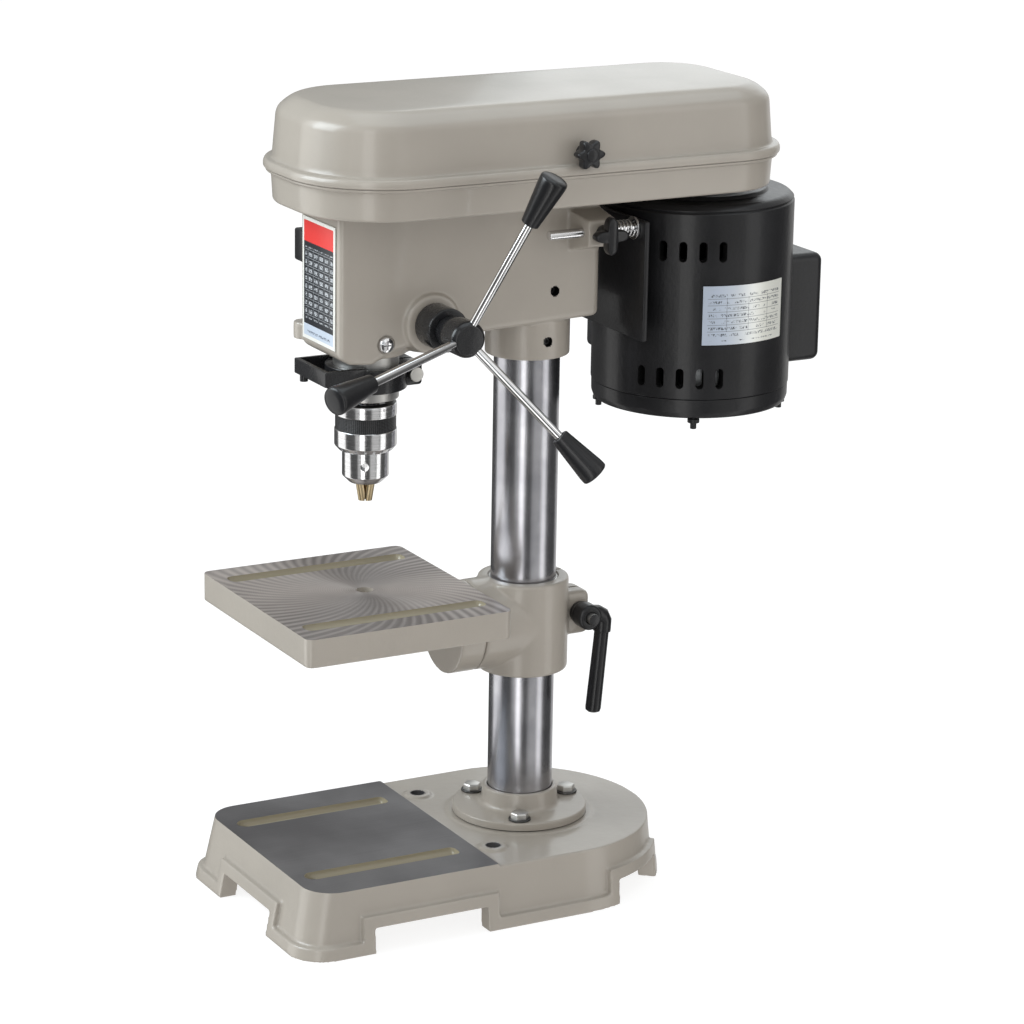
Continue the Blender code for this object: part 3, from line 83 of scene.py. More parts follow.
class Signal:
    """A value on its way through a finish or the room; arithmetic on it adds Math nodes."""

    def __init__(self, paint, socket):
        self.paint, self.socket = paint, socket

    def sums(self, operation, *others):
        return self.paint.node("ShaderNodeMath", {"operation": operation}, (self, *others))

    def __add__(self, other):
        return self.sums("ADD", other)

    def __sub__(self, other):
        return self.sums("SUBTRACT", other)

    def __rsub__(self, other):
        return self * -1 + other

    def __mul__(self, other):
        return self.sums("MULTIPLY", other)

    def __truediv__(self, other):
        return self.sums("DIVIDE", other)

    def __gt__(self, other):
        return self.sums("GREATER_THAN", other)

    def __lt__(self, other):
        return self.sums("LESS_THAN", other)

    def __abs__(self):
        return self.sums("ABSOLUTE")

    __radd__, __rmul__ = __add__, __mul__

    def wave(self):
        return self.sums("SINE")

    def part(self):
        return self.sums("FRACT")

    def within(self, low, high):
        return (self > low) * (self < high)

    def ease(self, low, high, first=0.0, last=1.0):
        """Smoothly from `first` at `low` to `last` at `high`."""
        return self.paint.node("ShaderNodeMapRange", {"interpolation_type": "SMOOTHSTEP"}, {
            "Value": self, "From Min": low, "From Max": high, "To Min": first, "To Max": last})


class Nodes:
    """A node tree; every node of it but the maths comes from node()."""

    def __init__(self, tree):
        self.tree = tree

    def node(self, kind, settings=None, values=(), out=0):
        made = self.tree.nodes.new(kind)
        for key, value in (settings or {}).items():
            if key == "stops":
                ramp = made.color_ramp
                while len(ramp.elements) < len(value):
                    ramp.elements.new(0.5)
                for element, (spot, colour) in zip(ramp.elements, value):
                    element.position, element.color = spot, (*colour, 1)
            else:
                setattr(made, key, value)
        for key, value in values.items() if isinstance(values, dict) else enumerate(values):
            if isinstance(value, Signal):
                self.tree.links.new(value.socket, made.inputs[key])
            else:
                made.inputs[key].default_value = value
        return Signal(self, made.outputs[out]) if made.outputs else None

    def blend(self, share, one, two):
        one, two = ((*c, 1) if isinstance(c, tuple) else c for c in (one, two))
        return self.node("ShaderNodeMix", {"data_type": "RGBA"}, {0: share, 6: one, 7: two}, 2)

    def parts(self, vector):
        """The three numbers of a vector."""
        split = self.node("ShaderNodeSeparateXYZ", values=(vector,)).socket.node
        return [Signal(self, output) for output in split.outputs]


room = bpy.data.worlds.new("studio")
bpy.context.scene.world = room
room.use_nodes = True
room.node_tree.nodes.clear()
sky = Nodes(room.node_tree)
east, north, high = sky.parts(sky.node("ShaderNodeTexCoord", out="Generated"))
CAMERA_BEARING = atan2(camera.location.y - MIDDLE.y, camera.location.x - MIDDLE.x)
turned_east = east * cos(CAMERA_BEARING) + north * sin(CAMERA_BEARING)
turned_north = north * cos(CAMERA_BEARING) - east * sin(CAMERA_BEARING)
bearing = turned_north.sums("ARCTAN2", turned_east) * (180 / pi)
# each panel: where it stands in degrees round from the front, half its width, how bright
PANELS = ((-97, 23, 1.35), (-10, 9, 2.6), (-28, 8, 0.45), (40, 17, 0.5), (70, 12, 1.5), (165, 30, 0.6))
glow = high.ease(-0.15, 0.75, 0.1, 0.55)
for spot, half, bright in PANELS:
    glow = glow + (1 - abs(bearing - spot).ease(half * 0.75, half)) * bright * high.ease(0.45, 0.8, 1, 0)
seen = sky.node("ShaderNodeLightPath", out="Is Camera Ray")
light = sky.node("ShaderNodeBackground", values={"Color": (1, 0.995, 0.98, 1), "Strength": glow})
white = sky.node("ShaderNodeBackground", values={"Color": (1, 1, 1, 1), "Strength": 1.0})
mixed = sky.node("ShaderNodeMixShader", values=(seen, light, white))
sky.node("ShaderNodeOutputWorld", values=(mixed,))

# ---- base casting ----
# The grey iron base: a sloping box on four pairs of feet with a rolled lip, enamelled all over,
# its front plate milled flat afterwards so that the two clamping grooves stay painted.
column_low, column_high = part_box("column")
AXIS = Vector(((column_low.x + column_high.x) / 2, (column_low.y + column_high.y) / 2, 0))


def span(node):
    """A CAD node's corners, measured from the column's line."""
    low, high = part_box(node)
    return low - AXIS, high - AXIS


def arc(cx, cy, r, a, b, n):
    return [(cx + r * cos(radians(a + (b - a) * i / n)), cy + r * sin(radians(a + (b - a) * i / n)))
            for i in range(n + 1)]


def fresh(bm):
    """A new object from a bmesh, its faces pointing out."""
    bmesh.ops.recalc_face_normals(bm, faces=bm.faces[:])
    mesh = bpy.data.meshes.new("tool")
    bm.to_mesh(mesh)
    bm.free()
    obj = bpy.data.objects.new("tool", mesh)
    bpy.context.scene.collection.objects.link(obj)
    return obj


def loft(rings, ends=True):
    bm = bmesh.new()
    rows = [[bm.verts.new(p) for p in ring] for ring in rings]
    for one, two in zip(rows, rows[1:]):
        for i in range(len(one)):
            j = (i + 1) % len(one)
            bm.faces.new((one[i], one[j], two[j], two[i]))
    if ends:
        bm.faces.new(rows[0][::-1])
        bm.faces.new(rows[-1])
    return fresh(bm)


def prism(outline, low, high, along="Z"):
    put = {"Z": lambda p, h: (p[0], p[1], h), "X": lambda p, h: (h, p[0], p[1]),
           "Y": lambda p, h: (p[0], h, p[1])}[along]
    return loft([[put(p, h) for p in outline] for h in (low, high)])


def soften(obj, width, steps=3, angle=30):
    bevel = obj.modifiers.new("edge", "BEVEL")
    bevel.width, bevel.segments, bevel.limit_method = width, steps, "ANGLE"
    bevel.angle_limit = radians(angle)
    return obj


def block(low, high, edge=0.0):
    bm = bmesh.new()
    bmesh.ops.create_cube(bm, size=1)
    for v in bm.verts:
        v.co = [a + (b - a) * (c + 0.5) for a, b, c in zip(low, high, v.co)]
    obj = fresh(bm)
    return soften(obj, edge) if edge else obj


ALONG_X, ALONG_Y = Euler((0, pi / 2, 0)), Euler((-pi / 2, 0, 0))


def drum(radius, length, at=(0, 0, 0), turn=(0, 0, 0), top=None, sides=64):
    bm = bmesh.new()
    bmesh.ops.create_cone(bm, cap_ends=True, segments=sides, radius1=radius,
                          radius2=radius if top is None else top, depth=length)
    obj = fresh(bm)
    obj.location, obj.rotation_euler = at, turn
    return obj


def work(obj, kind, tools):
    for tool in tools:
        step = obj.modifiers.new(kind.lower(), "BOOLEAN")
        step.operation, step.solver, step.object = kind, "EXACT", tool
    return obj


def cut(obj, *tools):
    return work(obj, "DIFFERENCE", tools)


def weld(obj, *tools):
    return work(obj, "UNION", tools)


def cast(obj, grain, passes=6):
    """Runs the sharp shape into a casting's soft corners."""
    mould = obj.modifiers.new("cast", "REMESH")
    mould.mode, mould.voxel_size = "VOXEL", grain
    soft = obj.modifiers.new("soft", "SMOOTH")
    soft.factor, soft.iterations = 0.5, passes
    return obj


def bake(obj):
    """Applies the modifiers and throws the tools away."""
    bpy.context.view_layer.update()
    mesh = bpy.data.meshes.new_from_object(obj.evaluated_get(bpy.context.evaluated_depsgraph_get()))
    mesh.transform(obj.matrix_world)
    obj.location, obj.rotation_euler = (0, 0, 0), (0, 0, 0)
    used = [step.object for step in obj.modifiers if step.type == "BOOLEAN"]
    obj.modifiers.clear()
    obj.data = mesh
    while used:
        tool = used.pop()
        used += [step.object for step in tool.modifiers if step.type == "BOOLEAN"]
        bpy.data.objects.remove(tool, do_unlink=True)
    bpy.context.view_layer.update()
    return obj


def settle(obj, name, node, body, slot, *paints, sharp=35, pick=None):
    """Finishes a piece: applies it, shades it, paints it, hangs it on its body's empty and hides its CAD part."""
    bake(obj)
    obj.name = name
    obj.data.transform(Matrix.Translation(AXIS))
    obj.data.materials.clear()
    for paint in paints:
        obj.data.materials.append(paint)
    for face in obj.data.polygons:
        face.material_index = pick(face) if pick else 0
    obj.data.shade_smooth()
    obj.data.set_sharp_from_angle(angle=radians(sharp))
    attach(obj, body)
    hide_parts(node)


class Finish(Nodes):
    """A surface finish; what is the same all over is set on the shader's own sockets."""

    def __init__(self, name, colour, rough, metal=0.0, **plain):
        self.material = bpy.data.materials.new(name)
        self.material.use_nodes = True
        super().__init__(self.material.node_tree)
        self.shader = self.tree.nodes["Principled BSDF"]
        plain.update({"Base_Color": (*colour, 1), "Roughness": rough, "Metallic": metal})
        for key, value in plain.items():
            self.shader.inputs[key.replace("_", " ")].default_value = value

    def feed(self, channel, signal):
        self.tree.links.new(signal.socket, self.shader.inputs[channel])

    def place(self):
        return self.node("ShaderNodeTexCoord", out="Object")

    def axes(self):
        """How far a spot is to the right of the column's line, behind it, and up."""
        x, y, z = self.parts(self.place())
        return x - AXIS.x, y - AXIS.y, z

    def noise(self, scale, detail=3.0, rough=0.5, stretch=(1, 1, 1)):
        """Cloudy noise from 0 to 1, `scale` patches to the metre, stretched along an axis below 1."""
        here = self.node("ShaderNodeMapping", None, {"Vector": self.place(), "Scale": stretch})
        return self.node("ShaderNodeTexNoise", None, {
            "Vector": here, "Scale": scale, "Detail": detail, "Roughness": rough})

    def bump(self, height, depth, over=None):
        """Raises the surface by `depth` metres where `height` is 1."""
        values = {"Strength": 1.0, "Distance": depth, "Height": height}
        if over is not None:
            values["Normal"] = over
        return self.node("ShaderNodeBump", None, values)


def enamel(name, tint=(0.34, 0.307, 0.266), cast_iron=True):
    """Warm grey gloss enamel, over rough iron or smooth sheet."""
    paint = Finish(name, tint, 0.3, Coat_Weight=0.35, Coat_Roughness=0.12, Specular_IOR_Level=0.5)
    cloud, fine = paint.noise(14, 4), paint.noise(420, 2)
    darker = tuple(c * 0.93 for c in tint)
    paint.feed("Base Color", paint.blend(cloud.ease(0.35, 0.7), tint, darker))
    paint.feed("Roughness", 0.24 + 0.14 * cloud + 0.05 * fine)
    skin = paint.bump(fine, 0.00004)
    if cast_iron:
        skin = paint.bump(paint.noise(95, 3), 0.0003, skin)
    paint.feed("Normal", paint.bump(paint.noise(26, 2), 0.0004 if cast_iron else 0.0002, skin))
    return paint.material


IRON_ENAMEL = enamel("grey_enamel_on_iron")
GROOVE_ENAMEL = enamel("grey_enamel_in_grooves", (0.3, 0.265, 0.185))

milled = Finish("milled_iron", (0.2, 0.195, 0.2), 0.4, 0.85)
scratch = milled.noise(900, 2, 0.6, (1, 0.02, 1))
haze = milled.noise(11, 3)
milled.feed("Base Color", milled.blend(haze.ease(0.3, 0.7), (0.105, 0.102, 0.106), (0.19, 0.186, 0.19)))
milled.feed("Roughness", 0.33 + 0.12 * haze + 0.1 * scratch)
milled.feed("Normal", milled.bump(scratch, 0.00006))

BASE_TOP = span("base")[1].z
BASE_DECK = BASE_TOP - 0.0018
BASE_HALF, BASE_FRONT = 0.0917, 0.2047
BASE_DRAFT, BASE_FRONT_DRAFT, BASE_CORNER, BASE_WALL = 0.0045, 0.009, 0.022, 0.009
LIP_HIGH, LIP_OUT, FOOT_HIGH = 0.0088, 0.004, 0.0175
PLATE_BACK, BENCH_X, BENCH_Y = 0.0655, 0.058, -0.052
GROOVE_X, GROOVE_WIDE, GROOVE_DEEP = 0.0555, 0.0134, 0.005
FRONT_GAP, SIDE_GAP, REAR_GAP, REAR_FOOT = 0.038, (-0.163, -0.076), 0.03, 51.6


def base_ring(z, extra):
    share = 1 - z / BASE_TOP
    grow, forward = extra + BASE_DRAFT * share, extra + BASE_FRONT_DRAFT * share
    half, front, corner = BASE_HALF + grow, BASE_FRONT + forward, BASE_CORNER + extra
    ring = (arc(0, 0, half, 0, 180, 72) + arc(-half + corner, -front + corner, corner, 180, 270, 14)
            + arc(half - corner, -front + corner, corner, 270, 360, 14))
    return [(px, py, z) for px, py in ring]


def base_body(extra, low, high):
    return loft([base_ring(low, extra), base_ring(high, extra)])


def foot_gaps(grow):
    """The gaps between the feet, `grow` wider and higher for the lip that follows them."""
    top, back = FOOT_HIGH + grow, radians(REAR_FOOT)
    aside = Vector((-sin(back), cos(back))) * grow
    wedge = [(0.05, REAR_GAP - grow), (0.15, REAR_GAP - grow),
             (0.24 * cos(back) + aside.x, 0.24 * sin(back) + aside.y),
             (0.066 * cos(back) + aside.x, 0.066 * sin(back) + aside.y)]
    return (block((-FRONT_GAP - grow, -0.26, -0.01), (FRONT_GAP + grow, -0.185, top)),
            block((-0.12, SIDE_GAP[0] - grow, -0.01), (0.12, SIDE_GAP[1] + grow, top)),
            prism(wedge, -0.01, top), prism([(-a, b) for a, b in wedge[::-1]], -0.01, top))


lip = base_body(LIP_OUT, 0.0, 0.032)
lip_zone = weld(block((-0.13, -0.26, -0.004), (0.13, 0.13, LIP_HIGH)), *foot_gaps(LIP_HIGH))
work(lip, "INTERSECT", [lip_zone])
hollow = cut(base_body(-BASE_WALL, -0.01, BASE_DECK - BASE_WALL), drum(0.0479, 0.06, (0, 0, 0.034)))
base = weld(base_body(0, 0, BASE_TOP + 0.0012), lip)
cut(base, block((-0.13, -PLATE_BACK, BASE_DECK), (0.13, 0.13, 0.07)), hollow, *foot_gaps(0))
weld(base, drum(0.0539, 0.007, (0, 0, BASE_DECK - 0.0027), top=0.0519, sides=96))
cut(base, block((-0.06, -0.06, -0.01), (0.06, 0.06, 0.02)))
for side in (-1, 1):
    weld(base, drum(0.0105, 0.006, (side * BENCH_X, BENCH_Y, BASE_DECK - 0.0014), top=0.0092))
    cut(base, block((side * GROOVE_X - GROOVE_WIDE / 2, -0.1935, BASE_TOP - GROOVE_DEEP),
                    (side * GROOVE_X + GROOVE_WIDE / 2, -0.079, 0.08), 0.0034),
        drum(0.006, 0.08, (side * GROOVE_X, -0.1895, 0.03)))
cast(base, 0.001, 3)
cut(base, block((-0.13, -0.26, BASE_TOP - 0.00005), (0.13, -PLATE_BACK + 0.002, 0.08)))
for side in (-1, 1):
    cut(base, drum(0.005, 0.08, (side * BENCH_X, BENCH_Y, 0.03)))
top_plane = BASE_TOP - 0.0002


def base_surface(face):
    spot = face.center - AXIS
    if spot.z > top_plane and face.normal.z > 0.98 and spot.y < -PLATE_BACK + 0.001:
        return 1
    # Drilled hole walls take the dark milled iron: bare iron, and painted shade down the holes.
    drilled = min((Vector((abs(spot.x), spot.y)) - Vector(hole)).length - r
                  for hole, r in (((BENCH_X, BENCH_Y), 0.0056), ((GROOVE_X, -0.1895), 0.0062)))
    if drilled < 0 and spot.z < BASE_TOP - GROOVE_DEEP + (0.0002 if spot.y < -0.1 else 0.006):
        return 1
    in_groove = abs(abs(spot.x) - GROOVE_X) < 0.0082 and -0.197 < spot.y < -0.078
    return 2 if in_groove and spot.z > 0.02 else 0


settle(base, "base_casting", "base", "stand", "grey_enamel_iron", IRON_ENAMEL, milled.material, GROOVE_ENAMEL,
       pick=base_surface)

# ---- column flange and column ----
# A turned iron flange holds the polished steel column upright; its neck runs into the plate in a
# small fillet, and three hexagon bolts through the plate pull it down on the base.
def lathe(profile, at=(0, 0, 0), turn=(0, 0, 0), edge=0.0004, sides=96):
    """A profile of (radius, height) swept round Z with its corners rounded by `edge`, or by a third
    number on a corner. It starts and ends on the axis, or else closes on itself as a ring."""
    ring = profile[0][0] > 1e-9
    spots, count = [], len(profile)
    for i, (r, z, *own) in enumerate(profile):
        here, last, coming = Vector((r, z)), Vector(profile[i - 1][:2]), Vector(profile[(i + 1) % count][:2])
        if not ring and i in (0, count - 1):
            spots.append(here)
            continue
        trim = min(own[0] if own else edge, 0.42 * (last - here).length, 0.42 * (coming - here).length)
        one, two = here + (last - here).normalized() * trim, here + (coming - here).normalized() * trim
        spots += [one.lerp(here, s).lerp(here.lerp(two, s), s) for s in (0, 0.25, 0.5, 0.75, 1)]
    bm = bmesh.new()
    circle = [(cos(2 * pi * i / sides), sin(2 * pi * i / sides)) for i in range(sides)]
    rows = [[bm.verts.new((p.x * c, p.x * s, p.y)) for c, s in circle] if p.x > 1e-6
            else [bm.verts.new((0, 0, p.y))] * sides for p in spots]
    for one, two in zip(rows, rows[1:] + (rows[:1] if ring else [])):
        for i in range(sides):
            j = (i + 1) % sides
            bm.faces.new(tuple(dict.fromkeys((one[i], one[j], two[j], two[i]))))
    obj = fresh(bm)
    obj.location, obj.rotation_euler = at, turn
    return obj


def metal(name, dull, bright, rough, swing, scuff=(1, 1, 1), depth=0.00002, **plain):
    """Bare metal, clouded between two tints, with fine scuffs that can run along one direction."""
    paint = Finish(name, bright, rough, 1.0, **plain)
    cloud, fine = paint.noise(38, 3), paint.noise(1100, 2, 0.6, scuff)
    paint.feed("Base Color", paint.blend(cloud.ease(0.3, 0.7), dull, bright))
    paint.feed("Roughness", rough + swing * cloud * 0.6 + swing * fine * 0.4)
    paint.feed("Normal", paint.bump(fine, depth))
    return paint.material


COLUMN_STEEL = metal("polished_column_steel", (0.4, 0.4, 0.43), (0.52, 0.52, 0.55), 0.2, 0.1, (1, 1, 0.03))
CHROME = metal("chrome_plate", (0.66, 0.66, 0.67), (0.8, 0.8, 0.81), 0.07, 0.08)
ZINC = metal("zinc_plate", (0.4, 0.4, 0.4), (0.62, 0.61, 0.58), 0.26, 0.22, depth=0.00004)
# Dark steel for the small parts; on the flange's foot it is painted shade.
DARK_STEEL_AND_SHADE = metal("oiled_dark_steel_and_painted_shade", (0.05, 0.05, 0.052), (0.11, 0.108, 0.105), 0.32, 0.2)

FLANGE_FOOT, FLANGE_SEAT, FLANGE_TOP, FLANGE_R, BORE_R = 0.0445, 0.0503, 0.0639, 0.0479, 0.0233
# The flange's lowest faces take the dark steel: painted shade in the crease where it sits on the base.
settle(lathe([(BORE_R, FLANGE_FOOT), (FLANGE_R, FLANGE_FOOT), (FLANGE_R, FLANGE_SEAT, 0.0014),
              (0.0276, FLANGE_SEAT, 0.004), (0.0264, FLANGE_TOP, 0.0012), (BORE_R, FLANGE_TOP, 0.0007)]),
       "flange_casting", "column_flange", "stand", "grey_enamel_iron", IRON_ENAMEL, DARK_STEEL_AND_SHADE,
       pick=lambda face: int(face.center.z < FLANGE_FOOT + 0.0009))
settle(lathe([(0.019, 0.47), (0.023, 0.47), (0.023, 0.0448), (0.019, 0.0448)], edge=0.0008, sides=160),
       "polished_column", "column", "stand", "bright_steel", COLUMN_STEEL)


def hexagon(radius, low, high, at, turn=(0, 0, 0)):
    """A hexagon head with the corners of its top turned off."""
    rings = [[(r * cos(pi * i / 3 + radians(15)), r * sin(pi * i / 3 + radians(15)), z) for i in range(6)]
             for r, z in ((radius, low), (radius, high - 0.0009), (radius * 0.9, high))]
    obj = soften(loft(rings), 0.0002, 2)
    obj.location, obj.rotation_euler = at, turn
    return obj


BOLT_SEAT = FLANGE_SEAT + 0.0003
for index, angle in enumerate((332.0, 92.0, 212.0)):
    spot = (0.039 * cos(radians(angle)), 0.039 * sin(radians(angle)), 0)
    shank = lathe([(0, BOLT_SEAT + 0.0012), (0.0078, BOLT_SEAT + 0.0012), (0.008, BOLT_SEAT), (0.0035, BOLT_SEAT),
                   (0.0035, 0.03), (0, 0.03)], spot, edge=0.0003, sides=48)
    settle(weld(shank, hexagon(0.0065, BOLT_SEAT + 0.0004, BOLT_SEAT + 0.0054, spot)),
           f"base_bolt_{index + 1}", f"flange_bolt_{index + 1}", "stand", "zinc_steel", ZINC, DARK_STEEL_AND_SHADE, sharp=25,
           pick=lambda face: int(face.center.z < BOLT_SEAT + 0.0013))

# ---- table bracket ----
# An iron collar and a round arm cast in one piece, split behind with two ears; a screw with a black
# bent handle closes the split on a thin steel sleeve that slides and turns on the column.
ARM_Z, CLAMP_Y, CLAMP_Z = 0.1885, 0.0385, 0.1905
ON_CLAMP = (0, CLAMP_Y, CLAMP_Z)
bracket = lathe([(0, 0.2197), (0.0322, 0.2197), (0.0322, 0.1527), (0, 0.1527)], edge=0.0018)
weld(bracket, lathe([(0, 0.006), (0.032, 0.006), (0.032, -0.0447), (0, -0.0447)], (0, 0, ARM_Z), ALONG_Y, 0.0016),
     block((-0.0125, 0.018, 0.173), (0.0125, 0.048, 0.205), 0.0045))
cast(bracket, 0.00085, 12)
cut(bracket, drum(0.02436, 0.12, (0, 0, 0.186), sides=160),
    drum(0.0236, 0.004, (0, 0, 0.2195), top=0.0266, sides=160),
    block((-0.0012, 0.01, 0.14), (0.0012, 0.06, 0.23)), drum(0.0043, 0.08, ON_CLAMP, ALONG_X, sides=32),
    drum(0.0053, 0.016, (0, -0.0377, ARM_Z), ALONG_Y, sides=32))
settle(bracket, "bracket_casting", "table_bracket", "table_arm", "grey_enamel_iron", IRON_ENAMEL)
settle(lathe([(0.02428, 0.2187), (0.02428, 0.1537), (0.02308, 0.1537), (0.02308, 0.2187)], edge=0.0002, sides=160),
       "sliding_sleeve", "bracket_liner", "table_slide", "zinc_steel", ZINC)


def black(name, tint, rough, grain, depth, coat=0.0):
    """Black plastic or paint, with a little haze and a fine skin."""
    paint = Finish(name, tint, rough, Coat_Weight=coat, Coat_Roughness=0.15, Specular_IOR_Level=0.3)
    cloud, fine = paint.noise(30, 3), paint.noise(grain, 2)
    paint.feed("Base Color", paint.blend(cloud.ease(0.3, 0.75), tint, tuple(c * 1.5 for c in tint)))
    paint.feed("Roughness", rough - 0.05 + 0.12 * cloud + 0.08 * fine)
    paint.feed("Normal", paint.bump(fine, depth))
    return paint.material


BLACK_PLASTIC = black("black_plastic_grip", (0.008, 0.008, 0.009), 0.27, 500, 0.00005, 0.2)
BLACK_METAL = black("black_enamelled_iron", (0.009, 0.009, 0.01), 0.22, 260, 0.00012, 0.3)
SATIN_BLACK = black("satin_black_motor_paint", (0.008, 0.008, 0.009), 0.33, 330, 0.00014, 0.15)


def sweep(path, radii, sides=32, across=(1, 0, 0)):
    """Round rings set square across a path, joined into a closed skin; `across` is never along the path."""
    path, rings = [Vector(p) for p in path], []
    for i, here in enumerate(path):
        way = (path[min(i + 1, len(path) - 1)] - path[max(i - 1, 0)]).normalized()
        side = way.cross(Vector(across)).normalized()
        up = side.cross(way)
        rings.append([here + radii[i] * (side * cos(a) + up * sin(a))
                      for a in (2 * pi * k / sides for k in range(sides))])
    return loft(rings)


settle(lathe([(0, 0.036), (0.004, 0.036), (0.004, -0.0128), (0.0075, -0.0128), (0.0075, -0.0178), (0, -0.0178)],
             ON_CLAMP, ALONG_X, 0.0006, 40),
       "clamp_bolt", "clamp_screw", "table_arm", "zinc_steel", ZINC, BLACK_METAL,
       pick=lambda face: int(face.center.x - AXIS.x > 0.03))
HANDLE_X = 0.024
neck = [(HANDLE_X, CLAMP_Y + out, CLAMP_Z + up) for out, up in (
    (0.004, 0.001), (0.0085, 0.0004), (0.0115, -0.0014), (0.0131, -0.0046), (0.0127, -0.01), (0.0125, -0.0125),
    (0.0124, -0.0131), (0.0118, -0.02), (0.007, -0.069), (0.0066, -0.0712), (0.0065, -0.0722))]
handle = lathe([(0.0043, 0.031), (0.0076, 0.031), (0.0092, 0.0296), (0.0092, 0.019, 0.0015), (0.0081, 0.017, 0.0015),
                (0.0081, 0.0135), (0.0043, 0.0135)], ON_CLAMP, ALONG_X, 0.0008, 48)
weld(handle, sweep(neck, (0.0064,) * 6 + (0.0052, 0.0052, 0.0056, 0.0052, 0.0035)))
settle(handle, "clamp_handle", "clamp_lever", "clamp_lever", "black_plastic", BLACK_PLASTIC, sharp=40)

# ---- table ----
# The square iron table hangs on a round hub that tilts on the arm; its top is faced off in one
# swirling cut that leaves the two grooves painted, and it is hollow and ribbed underneath.
TABLE_TOP, TABLE_FOOT, TABLE_HALF, TABLE_FRONT, TABLE_BACK = 0.2246, 0.2046, 0.0865, -0.208, -0.0543
TABLE_GROOVE, GROOVE_HALF, GROOVE_ENDS, corner, SPINDLE_Y = 0.061, 0.0068, (-0.1988, -0.0637), 0.0055, -0.124


def rounded(half, front, back, front_corner, back_corner, n):
    """An outline, the same on both sides of X = 0, with its four corners rounded."""
    f, b = front_corner, back_corner
    corners = ((half - b, back - b, b), (-half + b, back - b, b), (-half + f, front + f, f), (half - f, front + f, f))
    return [spot for k, place in enumerate(corners) for spot in arc(*place, 90 * k, 90 * k + 90, n)]


table = prism(rounded(TABLE_HALF, TABLE_FRONT, TABLE_BACK, corner, corner, 8), TABLE_FOOT, TABLE_TOP + 0.0012)
cut(table, block((-0.0795, -0.201, 0.18), (0.0795, -0.0613, 0.2151)))
hub = drum(0.032, 0.0188, (0, -0.0546, ARM_Z), ALONG_Y, sides=96)
work(hub, "INTERSECT", [block((-0.05, -0.1, 0.1), (0.05, 0.0, 0.2225))])
weld(table, block((-0.0045, -0.204, 0.2066), (0.0045, -0.0583, 0.217)), hub)
for side in (-1, 1):
    cut(table, block((side * TABLE_GROOVE - GROOVE_HALF, GROOVE_ENDS[0], TABLE_TOP - 0.005),
                     (side * TABLE_GROOVE + GROOVE_HALF, GROOVE_ENDS[1], 0.24), 0.0044))
cast(table, 0.00095, 4)
cut(table, block((-0.1, -0.25, TABLE_TOP - 0.00005), (0.1, 0.01, 0.25)),
    drum(0.006, 0.05, (0, SPINDLE_Y, TABLE_TOP), sides=48),
    drum(0.0053, 0.03, (0, -0.0546, ARM_Z), ALONG_Y, sides=32))
faced = Finish("faced_table_top", (0.27, 0.245, 0.22), 0.36, 0.85, Anisotropic=0.8)
x, y, z = faced.axes()
y = y - SPINDLE_Y
away, angle = (x * x + y * y).sums("SQRT"), y.sums("ARCTAN2", x)
marks = (away * (2 * pi / 0.0016) + faced.noise(30, 2) * 5).wave()
fan = (angle * 64 + away * 420 + faced.noise(25, 2) * 3).wave() * away.ease(0.006, 0.05)
# Painted sheen: two pale and two dark sectors round the spindle hole paint the faced top's bow-tie highlight into its
# colour.
bow_tie_sheen = (angle * 2 - radians(124 - 90)).wave() * away.ease(0.002, 0.02)
smear = faced.noise(16, 4, 0.6, (1, 0.35, 1))
share = 0.16 + smear.ease(0.3, 0.7) * 0.3 + bow_tie_sheen * 0.34 + fan * away.ease(0.02, 0.09) * 0.3
faced.feed("Base Color", faced.blend(share, (0.19, 0.168, 0.158), (0.52, 0.47, 0.44)))
faced.feed("Roughness", 0.32 + 0.12 * smear + 0.03 * marks - 0.04 * fan)
faced.feed("Normal", faced.bump(marks + fan * 1.5 + 0.8 * faced.noise(1300, 2, 0.6, (1, 0.05, 1)), 0.000024))


def table_surface(face):
    spot = face.center - AXIS
    if spot.z > TABLE_TOP - 0.0003 and face.normal.z > 0.98:
        return 1
    return int(abs(abs(spot.x) - TABLE_GROOVE) < 0.008 and -0.2005 < spot.y < -0.062 and spot.z > 0.217) * 2


settle(table, "table_casting", "table", "table", "grey_enamel_iron", IRON_ENAMEL, faced.material, GROOVE_ENAMEL,
       pick=table_surface)
settle(lathe([(0, 0.034), (0.005, 0.034), (0.005, 0), (0.009, 0), (0.009, -0.0065), (0, -0.0065)],
             (0, -0.0643, ARM_Z), ALONG_Y, 0.0006, 40),
       "hub_bolt", "tilt_bolt", "table_arm", "zinc_steel", ZINC)

# ---- head casting ----
# The iron head clamps the column behind and carries the quill in front; the feed shaft's bore has a
# raised ring, and tapered ears behind hold the rods that the motor slides on.
HEAD_HALF, FEED_Y, FEED_Z, ROD_X, ROD_Z = 0.03125, -0.091, 0.4159, 0.045, 0.4712
GIB_Y, GIB_Z, GRUB_SCREWS = -0.1246, 0.4041, ((0.0037, 0.429), (0.0002, 0.3935))
ON_SPINDLE, ON_FEED = (0, SPINDLE_Y, 0), (0, FEED_Y, FEED_Z)
head_side = [(-0.1584, 0.397), (-0.15, 0.392), (-0.133, 0.3905), (-0.119, 0.398), (-0.095, 0.4025), (-0.051, 0.405),
             (0.0391, 0.4085), (0.0391, 0.4945), (-0.1584, 0.4945)]
head = soften(prism(head_side, -HEAD_HALF, HEAD_HALF, "X"), 0.0042, 4, 40)
weld(head, drum(0.0294, 0.06, (0, 0, 0.4106)), drum(0.0285, 0.02, (0, SPINDLE_Y, 0.4035)),
     drum(0.0232, 0.02, (0.0259, FEED_Y, FEED_Z), ALONG_X, top=0.02), drum(0.009, 0.0115, (-0.0385, -0.15, 0.40275)),
     block((-0.0385, -0.156, 0.397), (-0.025, -0.141, 0.4085)))
